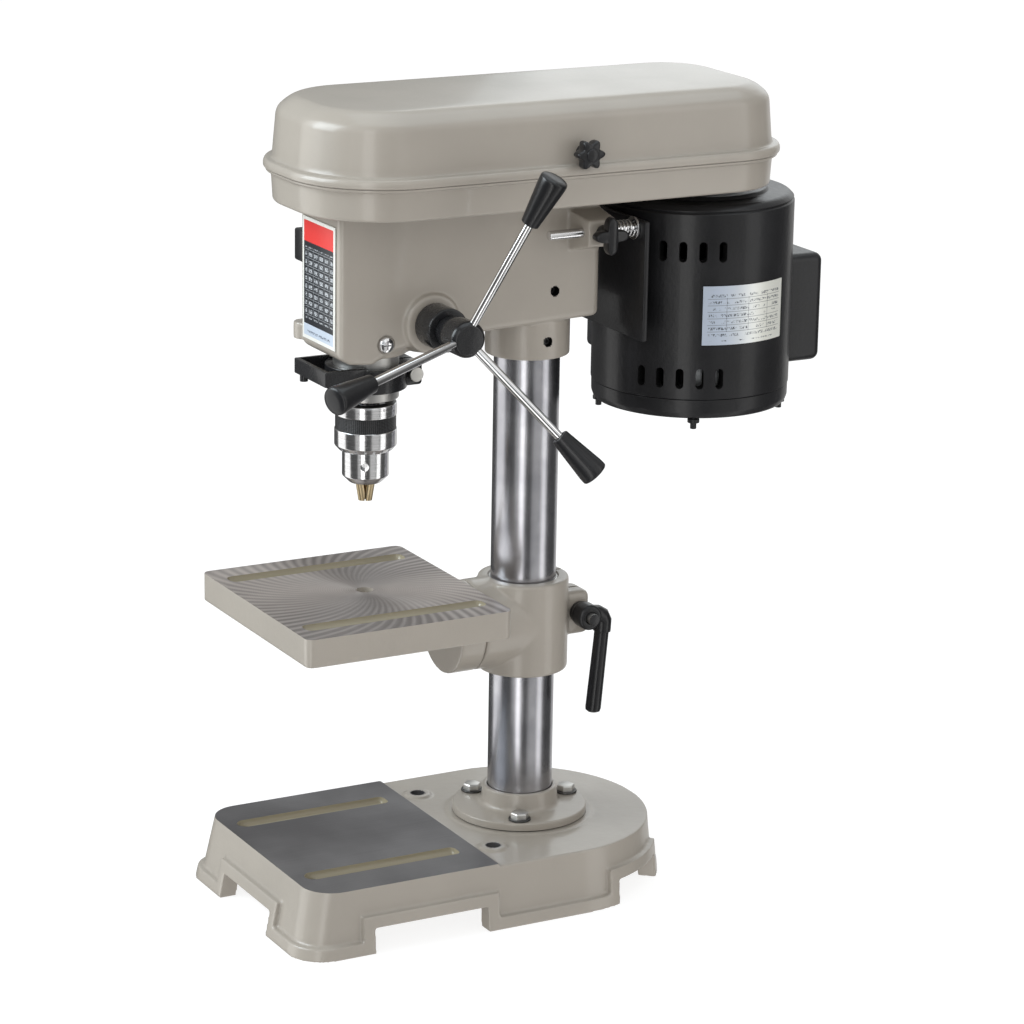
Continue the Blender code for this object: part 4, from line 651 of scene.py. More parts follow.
for side in (-1, 1):
    rings = []
    for out, front, under, over in ((0.028, 0.013, 0.015, 0.014), (0.053, 0.017, 0.009, 0.009)):
        corners = ((front, -under), (0.0386, -under), (0.0386, over), (front, over))
        rings.append([(side * out, y, ROD_Z + rise) for y, rise in corners])
    weld(head, loft(rings))
cast(head, 0.00095, 7)
cut(head, drum(0.0233, 0.2, (0, 0, 0.3715), sides=128), drum(0.0227, 0.2, (0, SPINDLE_Y, 0.45), sides=128),
    drum(0.0138, 0.12, ON_FEED, ALONG_X), drum(0.003, 0.03, (-0.0395, -0.15, 0.4085), sides=24),
    drum(0.0026, 0.02, (0.053, 0.028, ROD_Z), ALONG_X, sides=24),
    block((-0.023, -0.079, 0.438), (0.023, -0.037, 0.5), 0.002),
    drum(0.0066, 0.0024, (HEAD_HALF + 0.0004, GIB_Y, GIB_Z), ALONG_X, sides=48),
    drum(0.0028, 0.03, (0.025, GIB_Y, GIB_Z), ALONG_X, sides=24))
for side in (-1, 1):
    cut(head, drum(0.00348, 0.08, (side * ROD_X, 0.03, ROD_Z), ALONG_Y, sides=32))
for index, ((y0, z0), face) in enumerate(zip(GRUB_SCREWS, (HEAD_HALF, 0.0294))):
    cut(head, drum(0.0034, 0.02, (face - 0.001, y0, z0), ALONG_X, sides=32))
    screw = lathe([(0, 0.0028), (0.003, 0.0028), (0.003, 0), (0, 0)], (0.0235, y0, z0), ALONG_X, sides=32)
    settle(cut(screw, drum(0.0016, 0.004, (0.0265, y0, z0), ALONG_X, sides=6)),
           f"grub_screw_{index + 1}", f"column_set_screw_{index + 1}", "stand", "zinc_steel", DARK_STEEL_AND_SHADE)
# Near-black inside the head's bores and screw holes: painted shade in the recesses.
BORE_SHADE = metal("bore_painted_shade", (0.03, 0.03, 0.03), (0.07, 0.068, 0.066), 0.4, 0.2)


def head_surface(face):
    spot = face.center - AXIS
    grub = min(hypot(spot.y - a, spot.z - b) for a, b in GRUB_SCREWS)
    return int(hypot(spot.y - SPINDLE_Y, spot.x) < 0.0229 or hypot(spot.y - FEED_Y, spot.z - FEED_Z) < 0.0139
               or hypot(spot.x, spot.y) < 0.0234 or (grub < 0.0036 and spot.x > 0.02))


settle(head, "head_casting", "head", "stand", "grey_enamel_iron", IRON_ENAMEL, BORE_SHADE, pick=head_surface)
gib = lathe([(0, 0.0032), (0.0028, 0.0029), (0.005, 0.002), (0.0058, 0.0002), (0.0025, 0.0002), (0.0025, -0.0078),
             (0, -0.0078)], (HEAD_HALF, GIB_Y, GIB_Z), ALONG_X, 0.0005, 56)
for wide, tall in ((0.0005, 0.003), (0.003, 0.0005)):
    cut(gib, block((HEAD_HALF + 0.0014, GIB_Y - wide, GIB_Z - tall), (0.05, GIB_Y + wide, GIB_Z + tall)))
settle(gib, "quill_lock_screw", "gib_screw", "stand", "bright_steel", CHROME)
settle(lathe([(0, -0.0316), (0.024, -0.0316), (0.024, -0.0515, 0.0022), (0.01, -0.0515), (0.0092, -0.0507),
              (0, -0.0507)], ON_FEED, ALONG_X, 0.0006),
       "return_spring_cup", "spring_housing", "stand", "black_plastic", BLACK_METAL)

# ---- quill and its collar ----
# The ground steel quill slides in the head, with a rack cut down its back; a black iron collar with
# a flat bar frame in front is pinched on its foot by a zinc-plated bolt.
PITCH, RACK_Y, TIP_Y, PINCH = 0.0039684, -0.103947, -0.1020526, (0, -0.0942, 0.3775)
quill = lathe([(0.0225, 0.478), (0.0225, 0.362), (0.0086, 0.362), (0.0086, 0.478)],
              ON_SPINDLE, edge=0.0008, sides=128)
teeth = [(TIP_Y + 0.01, FEED_Z - 2.2 * PITCH), (TIP_Y, FEED_Z - 2.2 * PITCH)]
for i in range(round((0.05 + 4.4 * PITCH) / PITCH)):
    z = FEED_Z + (i - 2) * PITCH
    teeth += [(TIP_Y, z - 0.00134), (RACK_Y - 0.0003, z - 0.00053), (RACK_Y - 0.0003, z + 0.00053),
              (TIP_Y, z + 0.00134)]
teeth += [(TIP_Y, FEED_Z + 0.05 + 2.2 * PITCH), (TIP_Y + 0.01, FEED_Z + 0.05 + 2.2 * PITCH)]
settle(cut(quill, prism(teeth, -0.0135, 0.0135, "X")), "ground_quill", "quill", "quill", "zinc_steel", ZINC)
settle(lathe([(0, 0.078), (0.008, 0.078), (0.008, 0.035), (0.0132, 0.035), (0.0132, 0.0165), (0.0114, 0.0125),
              (0.0114, -0.0125), (0.0132, -0.0165), (0.0132, -0.029), (0.006, -0.029), (0.006, -0.045), (0, -0.045)],
             ON_FEED, ALONG_X, 0.0005, 64), "pinion_rod", "pinion_shaft", "feed", "zinc_steel", ZINC)
collar = lathe([(0, 0.3855), (0.028, 0.3855), (0.028, 0.369), (0, 0.369)], ON_SPINDLE, edge=0.001)
bar = cut(block((-0.0245, -0.166, 0.377), (0.0245, -0.136, 0.3875), 0.0007),
          block((-0.0215, -0.163, 0.36), (0.0215, -0.114, 0.4), 0.0006))
weld(collar, bar, block((-0.0135, -0.106, 0.369), (0.0135, -0.0875, 0.3855), 0.0025),
     drum(0.0028, 0.008, (-0.0185, -0.1615, 0.376), sides=32))
cut(collar, drum(0.0228, 0.05, (0, SPINDLE_Y, 0.378), sides=128),
    block((-0.0012, -0.114, 0.35), (0.0012, -0.08, 0.4)),
    drum(0.0033, 0.05, PINCH, ALONG_X, sides=32))
settle(collar, "quill_clamp_frame", "quill_collar", "quill", "black_metal", BLACK_METAL)
settle(lathe([(0, 0.018), (0.005, 0.018), (0.005, 0.0138), (0.003, 0.0138), (0.003, -0.0165), (0, -0.0165)],
             PINCH, ALONG_X, 0.0007, 48), "quill_clamp_bolt", "collar_bolt", "quill", "zinc_steel", ZINC)

# ---- spindle and chuck ----
# A steel spindle runs through the quill; the three-jaw chuck on its nose is chromed, with a black
# knurled band round the sleeve, a row of key teeth at its rim and straw-coloured jaws.
settle(lathe([(0, 0.556), (0.0068, 0.556), (0.0068, 0.48), (0.0085, 0.4795), (0.0085, 0.3617), (0.0105, 0.3617),
              (0.0105, 0.3586), (0.0066, 0.358), (0.0061, 0.3365), (0, 0.3365)], ON_SPINDLE, edge=0.0005),
       "drill_spindle", "spindle", "spindle", "bright_steel", CHROME)
turned_chrome = Finish("turned_chrome", (0.74, 0.74, 0.75), 0.12, 1.0)
rings = turned_chrome.noise(2600, 2, 0.6, (0.02, 0.02, 1))
turned_chrome.feed("Base Color", turned_chrome.blend(rings.ease(0.3, 0.7), (0.62, 0.62, 0.63), (0.8, 0.8, 0.81)))
turned_chrome.feed("Roughness", 0.08 + 0.16 * rings)
turned_chrome.feed("Normal", turned_chrome.bump(rings, 0.00002))
knurl = Finish("black_knurled_band", (0.01, 0.01, 0.011), 0.3, 0.3)
x, y, z = knurl.axes()
round_it = (y - SPINDLE_Y).sums("ARCTAN2", x) * 48
ridges = (round_it + z * 3200).wave() * (round_it - z * 3200).wave()
knurl.feed("Base Color", knurl.blend(ridges.ease(-0.5, 1), (0.008, 0.008, 0.009), (0.035, 0.035, 0.037)))
knurl.feed("Roughness", 0.3 + 0.1 * ridges)
knurl.feed("Normal", knurl.bump(ridges, 0.00016))
SLEEVE = [(0.0188, 0.3596), (0.0211, 0.3582), (0.02135, 0.3566), (0.02135, 0.3503, 0.0002), (0.0208, 0.3498),
          (0.0208, 0.3403), (0.02135, 0.3398, 0.0002), (0.02135, 0.3288), (0.0183, 0.3253), (0.0144, 0.3253),
          (0.0144, 0.3556), (0.0168, 0.3588), (0.0168, 0.3596)]


def ring_place(middle, radius, angle, z):
    """The place and turn of a thing on a ring round an upright axis at y = middle."""
    place = Matrix.Translation((radius * cos(angle), middle + radius * sin(angle), z))
    return place @ Matrix.Rotation(angle, 4, "Z")


sleeve, gaps = lathe(SLEEVE, ON_SPINDLE, edge=0.0004, sides=120), bmesh.new()
for k in range(20):
    angle = 2 * pi * (k + 0.5) / 20
    spot = ring_place(SPINDLE_Y, 0.0205, angle, 0.3254)
    bmesh.ops.create_cube(gaps, size=1, matrix=spot @ Matrix.Diagonal((0.006, 0.0019, 0.0052, 1)))
cut(sleeve, fresh(gaps))


def sleeve_surface(face):
    z, out = face.center.z, Vector((face.center.x - AXIS.x, face.center.y - AXIS.y - SPINDLE_Y)).length
    return 2 if z > 0.3585 or out < 0.019 and z > 0.327 else 1 if 0.3401 < z < 0.35 and out > 0.02 else 0


settle(sleeve, "chuck_shell", "chuck_sleeve", "chuck_sleeve", "bright_steel", turned_chrome.material, knurl.material,
       DARK_STEEL_AND_SHADE, pick=sleeve_surface, sharp=28)
core = lathe([(0.013, 0.357), (0.0141, 0.356), (0.0141, 0.325), (0.016, 0.325), (0.016, 0.3072), (0.011, 0.3023),
              (0.004, 0.3023), (0.004, 0.336), (0.0064, 0.336), (0.0069, 0.357)], ON_SPINDLE, edge=0.0006)
KEY_ANGLE, JAW_TILT, JAW_TIP, JAW_TOP = -28.0, radians(10), 0.2891, 0.326
jaws = []


def aim(way):
    """Turns a drum or lathe to stand along `way`."""
    return way.to_track_quat("Z", "Y").to_euler()


for k in range(3):
    angle = radians(KEY_ANGLE + 120 * k)
    cut(core, drum(0.0029, 0.015, (0.019 * cos(angle), SPINDLE_Y + 0.019 * sin(angle), 0.316),
                   aim(Vector((cos(angle), sin(angle), 0))), sides=40))
    angle = radians(KEY_ANGLE + 60 + 120 * k)
    out = Vector((cos(angle), sin(angle), 0))
    way = (out * sin(JAW_TILT) + Vector((0, 0, 1)) * cos(JAW_TILT)).normalized()
    tip, long = Vector((0, SPINDLE_Y, JAW_TIP)) + out * 0.0019, (JAW_TOP - JAW_TIP) / cos(JAW_TILT)
    lean = aim(way)
    cut(core, drum(0.0033, long + 0.007, tip + way * (long / 2 + 0.0015), lean, sides=40))
    side, centre = Vector((-out.y, out.x, 0)), Vector(ON_SPINDLE) + out * 0.0004
    sector = [centre, centre + (out * 0.5 + side * 0.866) * 0.03, centre + out * 0.03,
              centre + (out * 0.5 - side * 0.866) * 0.03]
    jaw = drum(0.003, long + 0.004, tip + way * (long / 2 + 0.001), lean, sides=48)
    jaws.append(work(jaw, "INTERSECT", [prism([(p.x, p.y) for p in sector[::-1]], JAW_TIP, JAW_TOP)]))
settle(core, "chuck_core", "chuck_body", "spindle", "bright_steel", turned_chrome.material)
STRAW = metal("straw_jaw_steel", (0.36, 0.27, 0.15), (0.66, 0.54, 0.34), 0.24, 0.16, depth=0.00003)
for index, jaw in enumerate(jaws):
    settle(jaw, f"hardened_jaw_{index + 1}", f"chuck_jaw_{index + 1}", f"jaw_{index + 1}", "jaw_steel", STRAW)

# ---- feed handles ----
# A black collar and hub on the pinion shaft; three chromed rods screw into the hub and lean away
# from the head, each with a tapered black plastic knob on its end.
settle(lathe([(0.015, 0.057), (0.015, 0.0363), (0.0083, 0.0363), (0.0083, 0.057)], ON_FEED, ALONG_X, 0.0012),
       "feed_stop_ring", "feed_collar", "feed", "black_metal", BLACK_METAL)
hub = lathe([(0, 0.088), (0.01, 0.088, 0.001), (0.0125, 0.085, 0.0015), (0.0125, 0.071, 0.002), (0.01, 0.0573),
             (0.0083, 0.0573), (0.0083, 0.0783), (0, 0.0783)], ON_FEED, ALONG_X, 0.0006)
lean, centre = radians(20.4), Vector((0.0807, FEED_Y, FEED_Z))
ways = [Vector((sin(lean), cos(lean) * cos(radians(a)), cos(lean) * sin(radians(a)))) for a in (189.9, 69.9, -50.1)]
for way in ways:
    cut(hub, drum(0.0033, 0.0208, centre + way * 0.0196, aim(way), sides=32))
settle(hub, "handle_hub", "feed_hub", "feed", "black_metal", BLACK_METAL)
for index, way in enumerate(ways):
    lie = aim(way)
    settle(lathe([(0, 0.115), (0.0031, 0.115), (0.0031, 0.0096), (0, 0.0096)], centre, lie, 0.0005, 48),
           f"handle_rod_{index + 1}", f"feed_rod_{index + 1}", "feed", "bright_steel", CHROME)
    settle(lathe([(0, 0.1276), (0.006, 0.1273, 0.003), (0.0096, 0.1262, 0.0016), (0.0095, 0.1215, 0.002),
                  (0.0062, 0.0914), (0.0055, 0.091), (0.0034, 0.091), (0.0034, 0.1153),
                  (0, 0.1153)], centre, lie, 0.0006, 64),
           f"handle_grip_{index + 1}", f"feed_knob_{index + 1}", "feed", "black_plastic", BLACK_PLASTIC)

# ---- pulleys and belt ----
# Two stepped alloy pulleys under the cover, big end to small end, with a rubber V belt on the
# second step; the spindle's pulley turns it through the quill's splined top.
ALLOY = metal("turned_alloy", (0.4, 0.4, 0.41), (0.6, 0.6, 0.61), 0.24, 0.16, (0.02, 0.02, 1), 0.00004)
TRAY_FLOOR, STEP_HIGH, MOTOR_Y = 0.499, 0.0105, 0.1318
ON_MOTOR = (0, MOTOR_Y, 0)
for name, body, steps, inner, middle in (
        ("spindle_pulley", "spindle_pulley", (0.046, 0.04, 0.034, 0.028), 0.0071, SPINDLE_Y),
        ("motor_pulley", "motor_rotor", (0.014, 0.02, 0.026, 0.032), 0.0073, MOTOR_Y)):
    side = []
    for k in reversed(range(4)):
        r, low = steps[k], TRAY_FLOOR + k * STEP_HIGH
        side += [(r, low + STEP_HIGH - 0.0004), (r - 0.0055, low + STEP_HIGH / 2 + 0.0022),
                 (r - 0.0055, low + STEP_HIGH / 2 - 0.0022), (r, low + 0.0004)]
    side += [(inner, TRAY_FLOOR), (inner, TRAY_FLOOR + 4 * STEP_HIGH)]
    settle(lathe(side, (0, middle, 0), edge=0.0005),
           name.replace("pulley", "cone_pulley"), name, body, "cast_alloy", ALLOY)
settle(lathe([(0, 0.543), (0.007, 0.543), (0.007, 0.45), (0, 0.45)], ON_MOTOR, edge=0.0006, sides=48),
       "rotor_shaft", "motor_shaft", "motor_rotor", "zinc_steel", ZINC)
rubber = Finish("belt_rubber", (0.016, 0.016, 0.016), 0.7)
cord_weave = rubber.noise(900, 3)
rubber.feed("Base Color", rubber.blend(cord_weave.ease(0.3, 0.7), (0.011, 0.011, 0.011), (0.024, 0.024, 0.023)))
rubber.feed("Roughness", 0.62 + 0.2 * cord_weave)
rubber.feed("Normal", rubber.bump(cord_weave, 0.0001))
rows = []
for inset, rise in ((0.0044, -0.0022), (0, -0.0039), (0, 0.0039), (0.0044, 0.0022)):
    r0, r1, gap = 0.0396 - inset, 0.0196 - inset, MOTOR_Y - SPINDLE_Y
    swing = degrees(atan2(r0 - r1, sqrt(gap ** 2 - (r0 - r1) ** 2)))
    rows.append([(px, py, TRAY_FLOOR + 1.5 * STEP_HIGH + rise) for px, py in
                 arc(0, SPINDLE_Y, r0, 180 - swing, 360 + swing, 64) + arc(0, MOTOR_Y, r1, swing, 180 - swing, 40)])
settle(loft(rows + rows[:1], ends=False), "v_belt", "drive_belt", "stand", "belt_rubber", rubber.material)

# ---- belt tray and hood ----
# A pressed steel tray bolted over the head and the motor, and a hinged hood with a rolled bead
# round its rim, a crease all round the top and a black knob that holds it shut.
SHEET_ENAMEL = enamel("grey_enamel_on_sheet", cast_iron=False)


def case_outline(grow):
    return rounded(0.07255 + grow, -0.1818 - grow, 0.1691 + grow, 0.06 + grow, 0.0474 + grow, 24)


def shell(profile, edge=0.0):
    """The case's outline at each (grow, z) of a profile, the profile's corners rounded first."""
    spots = [Vector(profile[0][:2])]
    for last, (grow, z, *own), coming in zip(profile, profile[1:], profile[2:]):
        here, last, coming = Vector((grow, z)), Vector(last[:2]), Vector(coming[:2])
        trim = min(own[0] if own else edge, 0.45 * (last - here).length, 0.45 * (coming - here).length)
        one, two = here + (last - here).normalized() * trim, here + (coming - here).normalized() * trim
        spots += [one.lerp(here, s).lerp(here.lerp(two, s), s) for s in (0, 0.2, 0.4, 0.6, 0.8, 1)]
    spots.append(Vector(profile[-1][:2]))
    return loft([[(px, py, spot.y) for px, py in case_outline(spot.x)] for spot in spots])


tray = shell([(-0.006, 0.4949), (-0.0005, 0.4949, 0.0034), (0.0004, 0.51), (0.0008, 0.5148, 0.001),
              (0.0042, 0.5156, 0.0008), (0.0044, 0.5172)], 0.001)
cut(tray, shell([(-0.0034, 0.4967), (-0.0018, 0.4985), (-0.0018, 0.53)], 0.001),
    drum(0.016, 0.02, (0, SPINDLE_Y, 0.4949)),
    drum(0.012, 0.02, (0, MOTOR_Y, 0.4949)), drum(0.012, 0.02, (0, 0.1238, 0.4949)),
    block((-0.012, 0.1238, 0.484), (0.012, MOTOR_Y, 0.505)))
settle(tray, "belt_tray", "belt_tub", "stand", "grey_enamel_sheet", SHEET_ENAMEL, sharp=40)
LID_TOP, KNOB_Y, KNOB_Z = 0.566, -0.0015, 0.5325
hood = shell([(0.0046, 0.5175), (0.0058, 0.5182, 0.001), (0.006, 0.5208, 0.0018), (0.0048, 0.5238, 0.0018),
              (0.0006, 0.5243, 0.0014), (-0.0002, 0.5275, 0.002), (-0.0028, LID_TOP - 0.0092, 0.0046),
              (-0.0105, LID_TOP - 0.003, 0.0034), (-0.016, LID_TOP - 0.0004, 0.004), (-0.026, LID_TOP)], 0.001)
cut(hood, shell([(-0.0006, 0.51), (-0.0018, 0.53), (-0.0046, LID_TOP - 0.0108), (-0.0128, LID_TOP - 0.0046),
                 (-0.028, LID_TOP - 0.0022)], 0.003),
    drum(0.0028, 0.03, (0.07255, KNOB_Y, KNOB_Z), ALONG_X, sides=24))
settle(hood, "belt_hood", "belt_cover", "belt_cover", "grey_enamel_sheet", SHEET_ENAMEL, sharp=40)


def lobed(radius, length, lobes, depth, at):
    """A lobed hand knob along X, from `at` outwards, its rims rounded."""
    side = []
    for k in range(lobes * 16):
        a = 2 * pi * k / (lobes * 16)
        r = radius - depth * (1 - cos(lobes * a)) / 2
        side.append((r * cos(a), r * sin(a)))
    return loft([[(at[0] + length * t, at[1] + a * s, at[2] + b * s) for a, b in side] for t, s in (
        (0, 0.78), (0.04, 0.88), (0.12, 0.96), (0.25, 1.0), (0.75, 1.0), (0.88, 0.97), (0.96, 0.91), (1, 0.82))])


KNOB_X = 0.07895
knob = lobed(0.0105, 0.009, 6, 0.0034, (KNOB_X, KNOB_Y, KNOB_Z))
weld(knob, drum(0.0058, 0.006, (KNOB_X - 0.0008, KNOB_Y, KNOB_Z), ALONG_X, sides=40),
     drum(0.0025, 0.018, (KNOB_X - 0.007, KNOB_Y, KNOB_Z), ALONG_X, sides=24),
     lathe([(0, 0.0016), (0.0042, 0.001), (0.0048, -0.001), (0, -0.001)], (KNOB_X + 0.009, KNOB_Y, KNOB_Z),
           ALONG_X, 0.0006, 40))
settle(knob, "hood_knob", "cover_knob", "cover_knob", "black_plastic", BLACK_PLASTIC, sharp=42)

# ---- motor ----
# A drawn steel can in satin black, closed below by an end bell on four tie bolts, with two rows of
# cooling slots, a capacitor box behind, a terminal box on its left and a silver rating plate.
MOTOR_R, MOTOR_TOP, BELL_TOP, MOTOR_FOOT = 0.0701, 0.488, 0.3495, 0.3351
can = lathe([(0, MOTOR_TOP - 0.0004), (0.046, MOTOR_TOP - 0.0004), (0.048, MOTOR_TOP, 0.0006),
             (0.05, MOTOR_TOP, 0.0006), (0.0515, MOTOR_TOP - 0.0024, 0.0006), (0.066, MOTOR_TOP - 0.0026, 0.003),
             (0.0698, MOTOR_TOP - 0.0064, 0.0012), (0.0687, 0.4806, 0.0003), (MOTOR_R, 0.4794, 0.0004),
             (MOTOR_R, BELL_TOP), (0, BELL_TOP)], ON_MOTOR, edge=0.0006, sides=160)
cut(can, drum(MOTOR_R - 0.01, 0.12, (0, MOTOR_Y, 0.407)), drum(0.0073, 0.08, (0, MOTOR_Y, MOTOR_TOP), sides=40))
slots = bmesh.new()
for middle in (0.3642, 0.4535):
    for bank in (0, 180):
        for k in range(-2, 3):
            angle = radians(-36.9 + bank + k * 11.4)
            put = ring_place(MOTOR_Y, MOTOR_R, angle, middle)
            ring = arc(0, 0.00445, 0.0028, 0, 180, 8) + arc(0, -0.00445, 0.0028, 180, 360, 8)
            ends = [[slots.verts.new(put @ Vector((h, a, b))) for a, b in ring] for h in (-0.012, 0.006)]
            for i in range(len(ring)):
                j = (i + 1) % len(ring)
                slots.faces.new((ends[0][i], ends[0][j], ends[1][j], ends[1][i]))
            slots.faces.new(ends[0][::-1])
            slots.faces.new(ends[1])
cut(can, fresh(slots))
# Painted shade: the inside of the can, seen through the slots, is near-black and matte.
MOTOR_INSIDE_SHADE = black("motor_inside_painted_shade", (0.004, 0.004, 0.004), 0.7, 200, 0.0002)


def can_surface(face):
    out = Vector((face.center.x - AXIS.x, face.center.y - AXIS.y - MOTOR_Y)).length
    return int(out < MOTOR_R - 0.0006 and face.center.z < 0.47)


settle(can, "motor_can", "motor_body", "motor", "satin_black_paint", SATIN_BLACK, MOTOR_INSIDE_SHADE, pick=can_surface)
bell = lathe([(0, 0.3492), (0.0696, 0.3492, 0.0008), (0.0695, 0.34), (0.068, 0.336, 0.002),
              (0.065, MOTOR_FOOT, 0.002), (0.054, MOTOR_FOOT), (0.052, 0.3366), (0.02, 0.3381), (0.018, MOTOR_FOOT),
              (0, MOTOR_FOOT)], ON_MOTOR, edge=0.0008, sides=160)
feet = [(0.064 * cos(radians(-28 + 90 * k)), MOTOR_Y + 0.064 * sin(radians(-28 + 90 * k)), 0) for k in range(4)]
cut(bell, *(drum(0.0023, 0.03, (fx, fy, 0.3401), sides=24) for fx, fy, _ in feet))
settle(bell, "motor_end_bell", "motor_cap", "motor", "satin_black_paint", SATIN_BLACK)
for index, foot in enumerate(feet):
    settle(lathe([(0, 0.3471), (0.002, 0.3471), (0.002, 0.3348), (0.0042, 0.3348), (0.0042, 0.3321), (0.0022, 0.3317),
                  (0.0022, 0.3276), (0, 0.3276)], foot, edge=0.0004, sides=32),
           f"bell_bolt_{index + 1}", f"tie_bolt_{index + 1}", "motor", "zinc_steel", SATIN_BLACK)
for name, node, low, high, edge in (
        ("capacitor_case", "capacitor_box", (-0.021, 0.19, 0.356), (0.021, 0.229, 0.4345), 0.0062),
        ("terminal_case", "terminal_box", (-0.092, 0.0985, 0.356), (-0.04, 0.165, 0.415), 0.0042)):
    case = soften(block(low, high), edge, 6)
    settle(cut(case, drum(MOTOR_R + 0.0003, 0.3, (0, MOTOR_Y, 0.42), sides=128)), name, node, "motor",
           "black_plastic", SATIN_BLACK)
rating = Finish("silver_rating_print", (0.62, 0.66, 0.72), 0.3, 0.35)
x, y, z = rating.axes()
turn_at = (y - MOTOR_Y).sums("ARCTAN2", x) * (180 / pi)
across, upward = (turn_at + 25.0) / 54.5, (z - 0.3885) / 0.0415
line_up = (upward * 9).part()
letters = rating.noise(1500, 2, 0.7, (1, 1, 0.4))
words = line_up.within(0.3, 0.72) * (letters > 0.52) * rating.noise(170, 1).ease(0.42, 0.5)
words = words * across.within(0.06, 0.94) * upward.within(0.06, 0.92)
rules = line_up.within(0.0, 0.1) * across.within(0.05, 0.95) * upward.within(0.16, 0.8)
columns = ((across * 4).part() < 0.03) * upward.within(0.22, 0.8) * across.within(0.05, 0.98)
ink = (words + rules * 0.55 + columns * 0.5).sums("MINIMUM", 1.0)
silver = rating.blend(across.ease(0.15, 0.75), (0.5, 0.56, 0.66), (0.8, 0.8, 0.74))
rating.feed("Base Color", rating.blend(ink, silver, (0.1, 0.11, 0.13)))
rating.feed("Roughness", 0.28 + 0.1 * letters)
plate = lathe([(0.071, 0.5), (0.071, 0.3), (0.0704, 0.3), (0.0704, 0.5)], ON_MOTOR, edge=0.0001, sides=160)
work(plate, "INTERSECT", [prism([(0, MOTOR_Y)] + arc(0, MOTOR_Y, 0.09, -25.0, 29.5, 40), 0.3885, 0.43)])
settle(plate, "motor_data_plate", "rating_plate", "motor", "silver_label", rating.material)

# ---- motor slide ----
# A black plate welded to the can hangs on two chromed rods through the head's ears; a spring and a
# washer on the right-hand rod push the motor back, and a black hand knob locks the rod.
bracket = block((-0.059, 0.0573, 0.394), (0.059, 0.0613, 0.4775), 0.0011)
weld(bracket, block((-0.038, 0.0607, 0.406), (0.038, 0.0723, 0.4635), 0.001))
cut(bracket, drum(MOTOR_R + 0.0003, 0.3, (0, MOTOR_Y, 0.42), sides=128),
    *(drum(0.0037, 0.03, (side * ROD_X, 0.0573, ROD_Z), ALONG_Y, sides=32) for side in (-1, 1)))
settle(bracket, "motor_plate", "motor_bracket", "motor", "satin_black_paint", SATIN_BLACK)
for side, tag in ((-1, "left"), (1, "right")):
    settle(lathe([(0, 0.065), (0.0034, 0.065), (0.0034, -0.01), (0, -0.01)], (side * ROD_X, 0, ROD_Z),
                 ALONG_Y, 0.0012, 48),
           f"tension_rod_{tag}", f"slide_rod_{tag}", "motor", "bright_steel", CHROME)
settle(lathe([(0.008, 0.057), (0.008, 0.0554), (0.0037, 0.0554), (0.0037, 0.057)], (ROD_X, 0, ROD_Z),
             ALONG_Y, 0.0003, 48),
       "rod_washer", "spring_washer", "motor", "bright_steel", CHROME)
turns = [10 * pi * i / 200 for i in range(201)]
coil = [(ROD_X + 0.0056 * cos(a), 0.0403 + 0.01395 * a / (10 * pi), ROD_Z + 0.0056 * sin(a)) for a in turns]
settle(sweep(coil, [0.0008] * len(coil), 16, across=(0, 1, 0)), "motor_spring", "tension_spring", "stand",
       "bright_steel", CHROME)
wing = lobed(0.013, 0.0085, 4, 0.007, (0.059, 0.028, ROD_Z))
weld(wing, drum(0.006, 0.0085, (0.0576, 0.028, ROD_Z), ALONG_X, sides=40),
     drum(0.0023, 0.012, (0.0548, 0.028, ROD_Z), ALONG_X, sides=24))
settle(wing, "rod_lock_knob", "tension_knob", "tension_knob", "black_plastic", BLACK_PLASTIC, sharp=42)

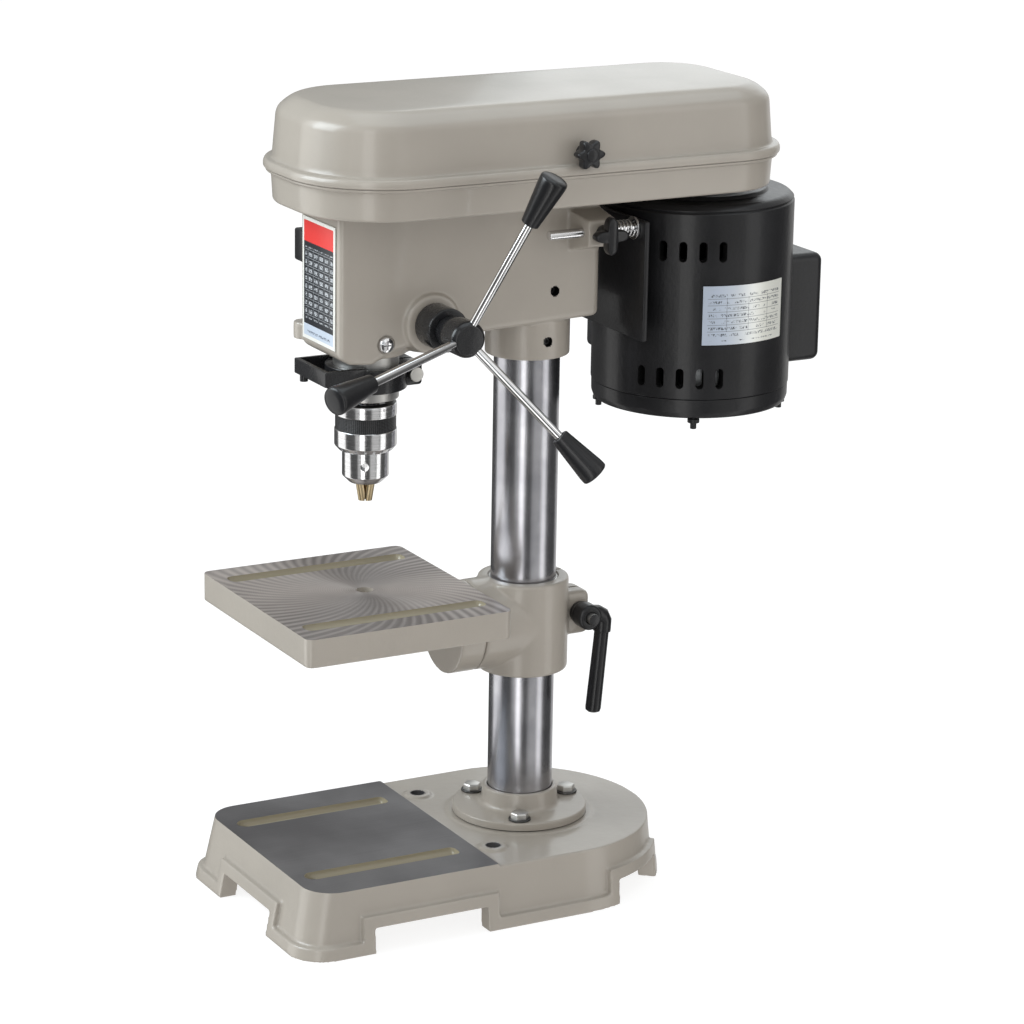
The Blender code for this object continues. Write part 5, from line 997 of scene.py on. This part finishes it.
# ---- speed chart and switch ----
# A thin printed plate is riveted to the head's face, with a plain red band over a dark chart of
# cells; the black switch box beside it has a chromed toggle.
chart = Finish("printed_speed_chart", (0.02, 0.02, 0.025), 0.3)
x, y, z = chart.axes()
across, upward = (x + 0.0248) / 0.0496, (z - 0.4015) / 0.0835
cell_x, cell_z = (across * 6).part(), (upward * 15).part()
marks = cell_x.within(0.18, 0.82) * cell_z.within(0.25, 0.75) * (chart.noise(1300, 2, 0.7) > 0.47)
grid = (cell_x < 0.05).sums("MAXIMUM", cell_z < 0.08) * 0.5
inside = across.within(0.09, 0.94) * upward.within(0.17, 0.76)
dark = chart.blend(inside * marks.sums("MAXIMUM", grid), (0.016, 0.018, 0.022), (0.42, 0.44, 0.46))
low_marks = across.within(0.15, 0.85) * upward.within(0.055, 0.075) * (chart.noise(900, 2) > 0.5)
foot_band = chart.blend(low_marks, (0.46, 0.52, 0.6), (0.12, 0.14, 0.18))
printed = chart.blend(upward > 0.125, foot_band, dark)
printed = chart.blend(upward > 0.8, printed, (0.62, 0.035, 0.03))
rim = 1 - across.within(0.045, 0.955) * upward.within(0.03, 0.972)
chart.feed("Base Color", chart.blend(rim, printed, (0.7, 0.7, 0.66)))
chart.feed("Roughness", 0.24 + 0.14 * chart.noise(60, 3))
settle(block((-0.0248, -0.1595, 0.4015), (0.0248, -0.1587, 0.485), 0.0002), "speed_chart", "speed_plate", "stand",
       "printed_label", chart.material)
SWITCH_AT = (-0.0465, -0.14, 0.461)
switch = block((-0.047, -0.1555, 0.45), (-0.03155, -0.125, 0.472), 0.0015)
weld(switch, lathe([(0.0056, 0.001), (0.0056, -0.001), (0.003, -0.001), (0.003, 0.001)], (-0.0466, -0.14, 0.461),
                   ALONG_X, 0.0004, 40))
settle(cut(switch, drum(0.0034, 0.008, SWITCH_AT, ALONG_X, sides=32)), "switch_case", "switch_box", "stand",
       "black_plastic", BLACK_PLASTIC)
settle(lathe([(0, 0.003), (0.0018, 0.0022), (0.0026, 0.0), (0.0018, -0.0025), (0.0016, -0.006), (0.0024, -0.012),
              (0.0016, -0.0132), (0, -0.0134)],
             SWITCH_AT, (0, radians(76), 0), 0.0012, 40), "toggle_stick", "switch_toggle", "switch_toggle",
       "bright_steel", CHROME)
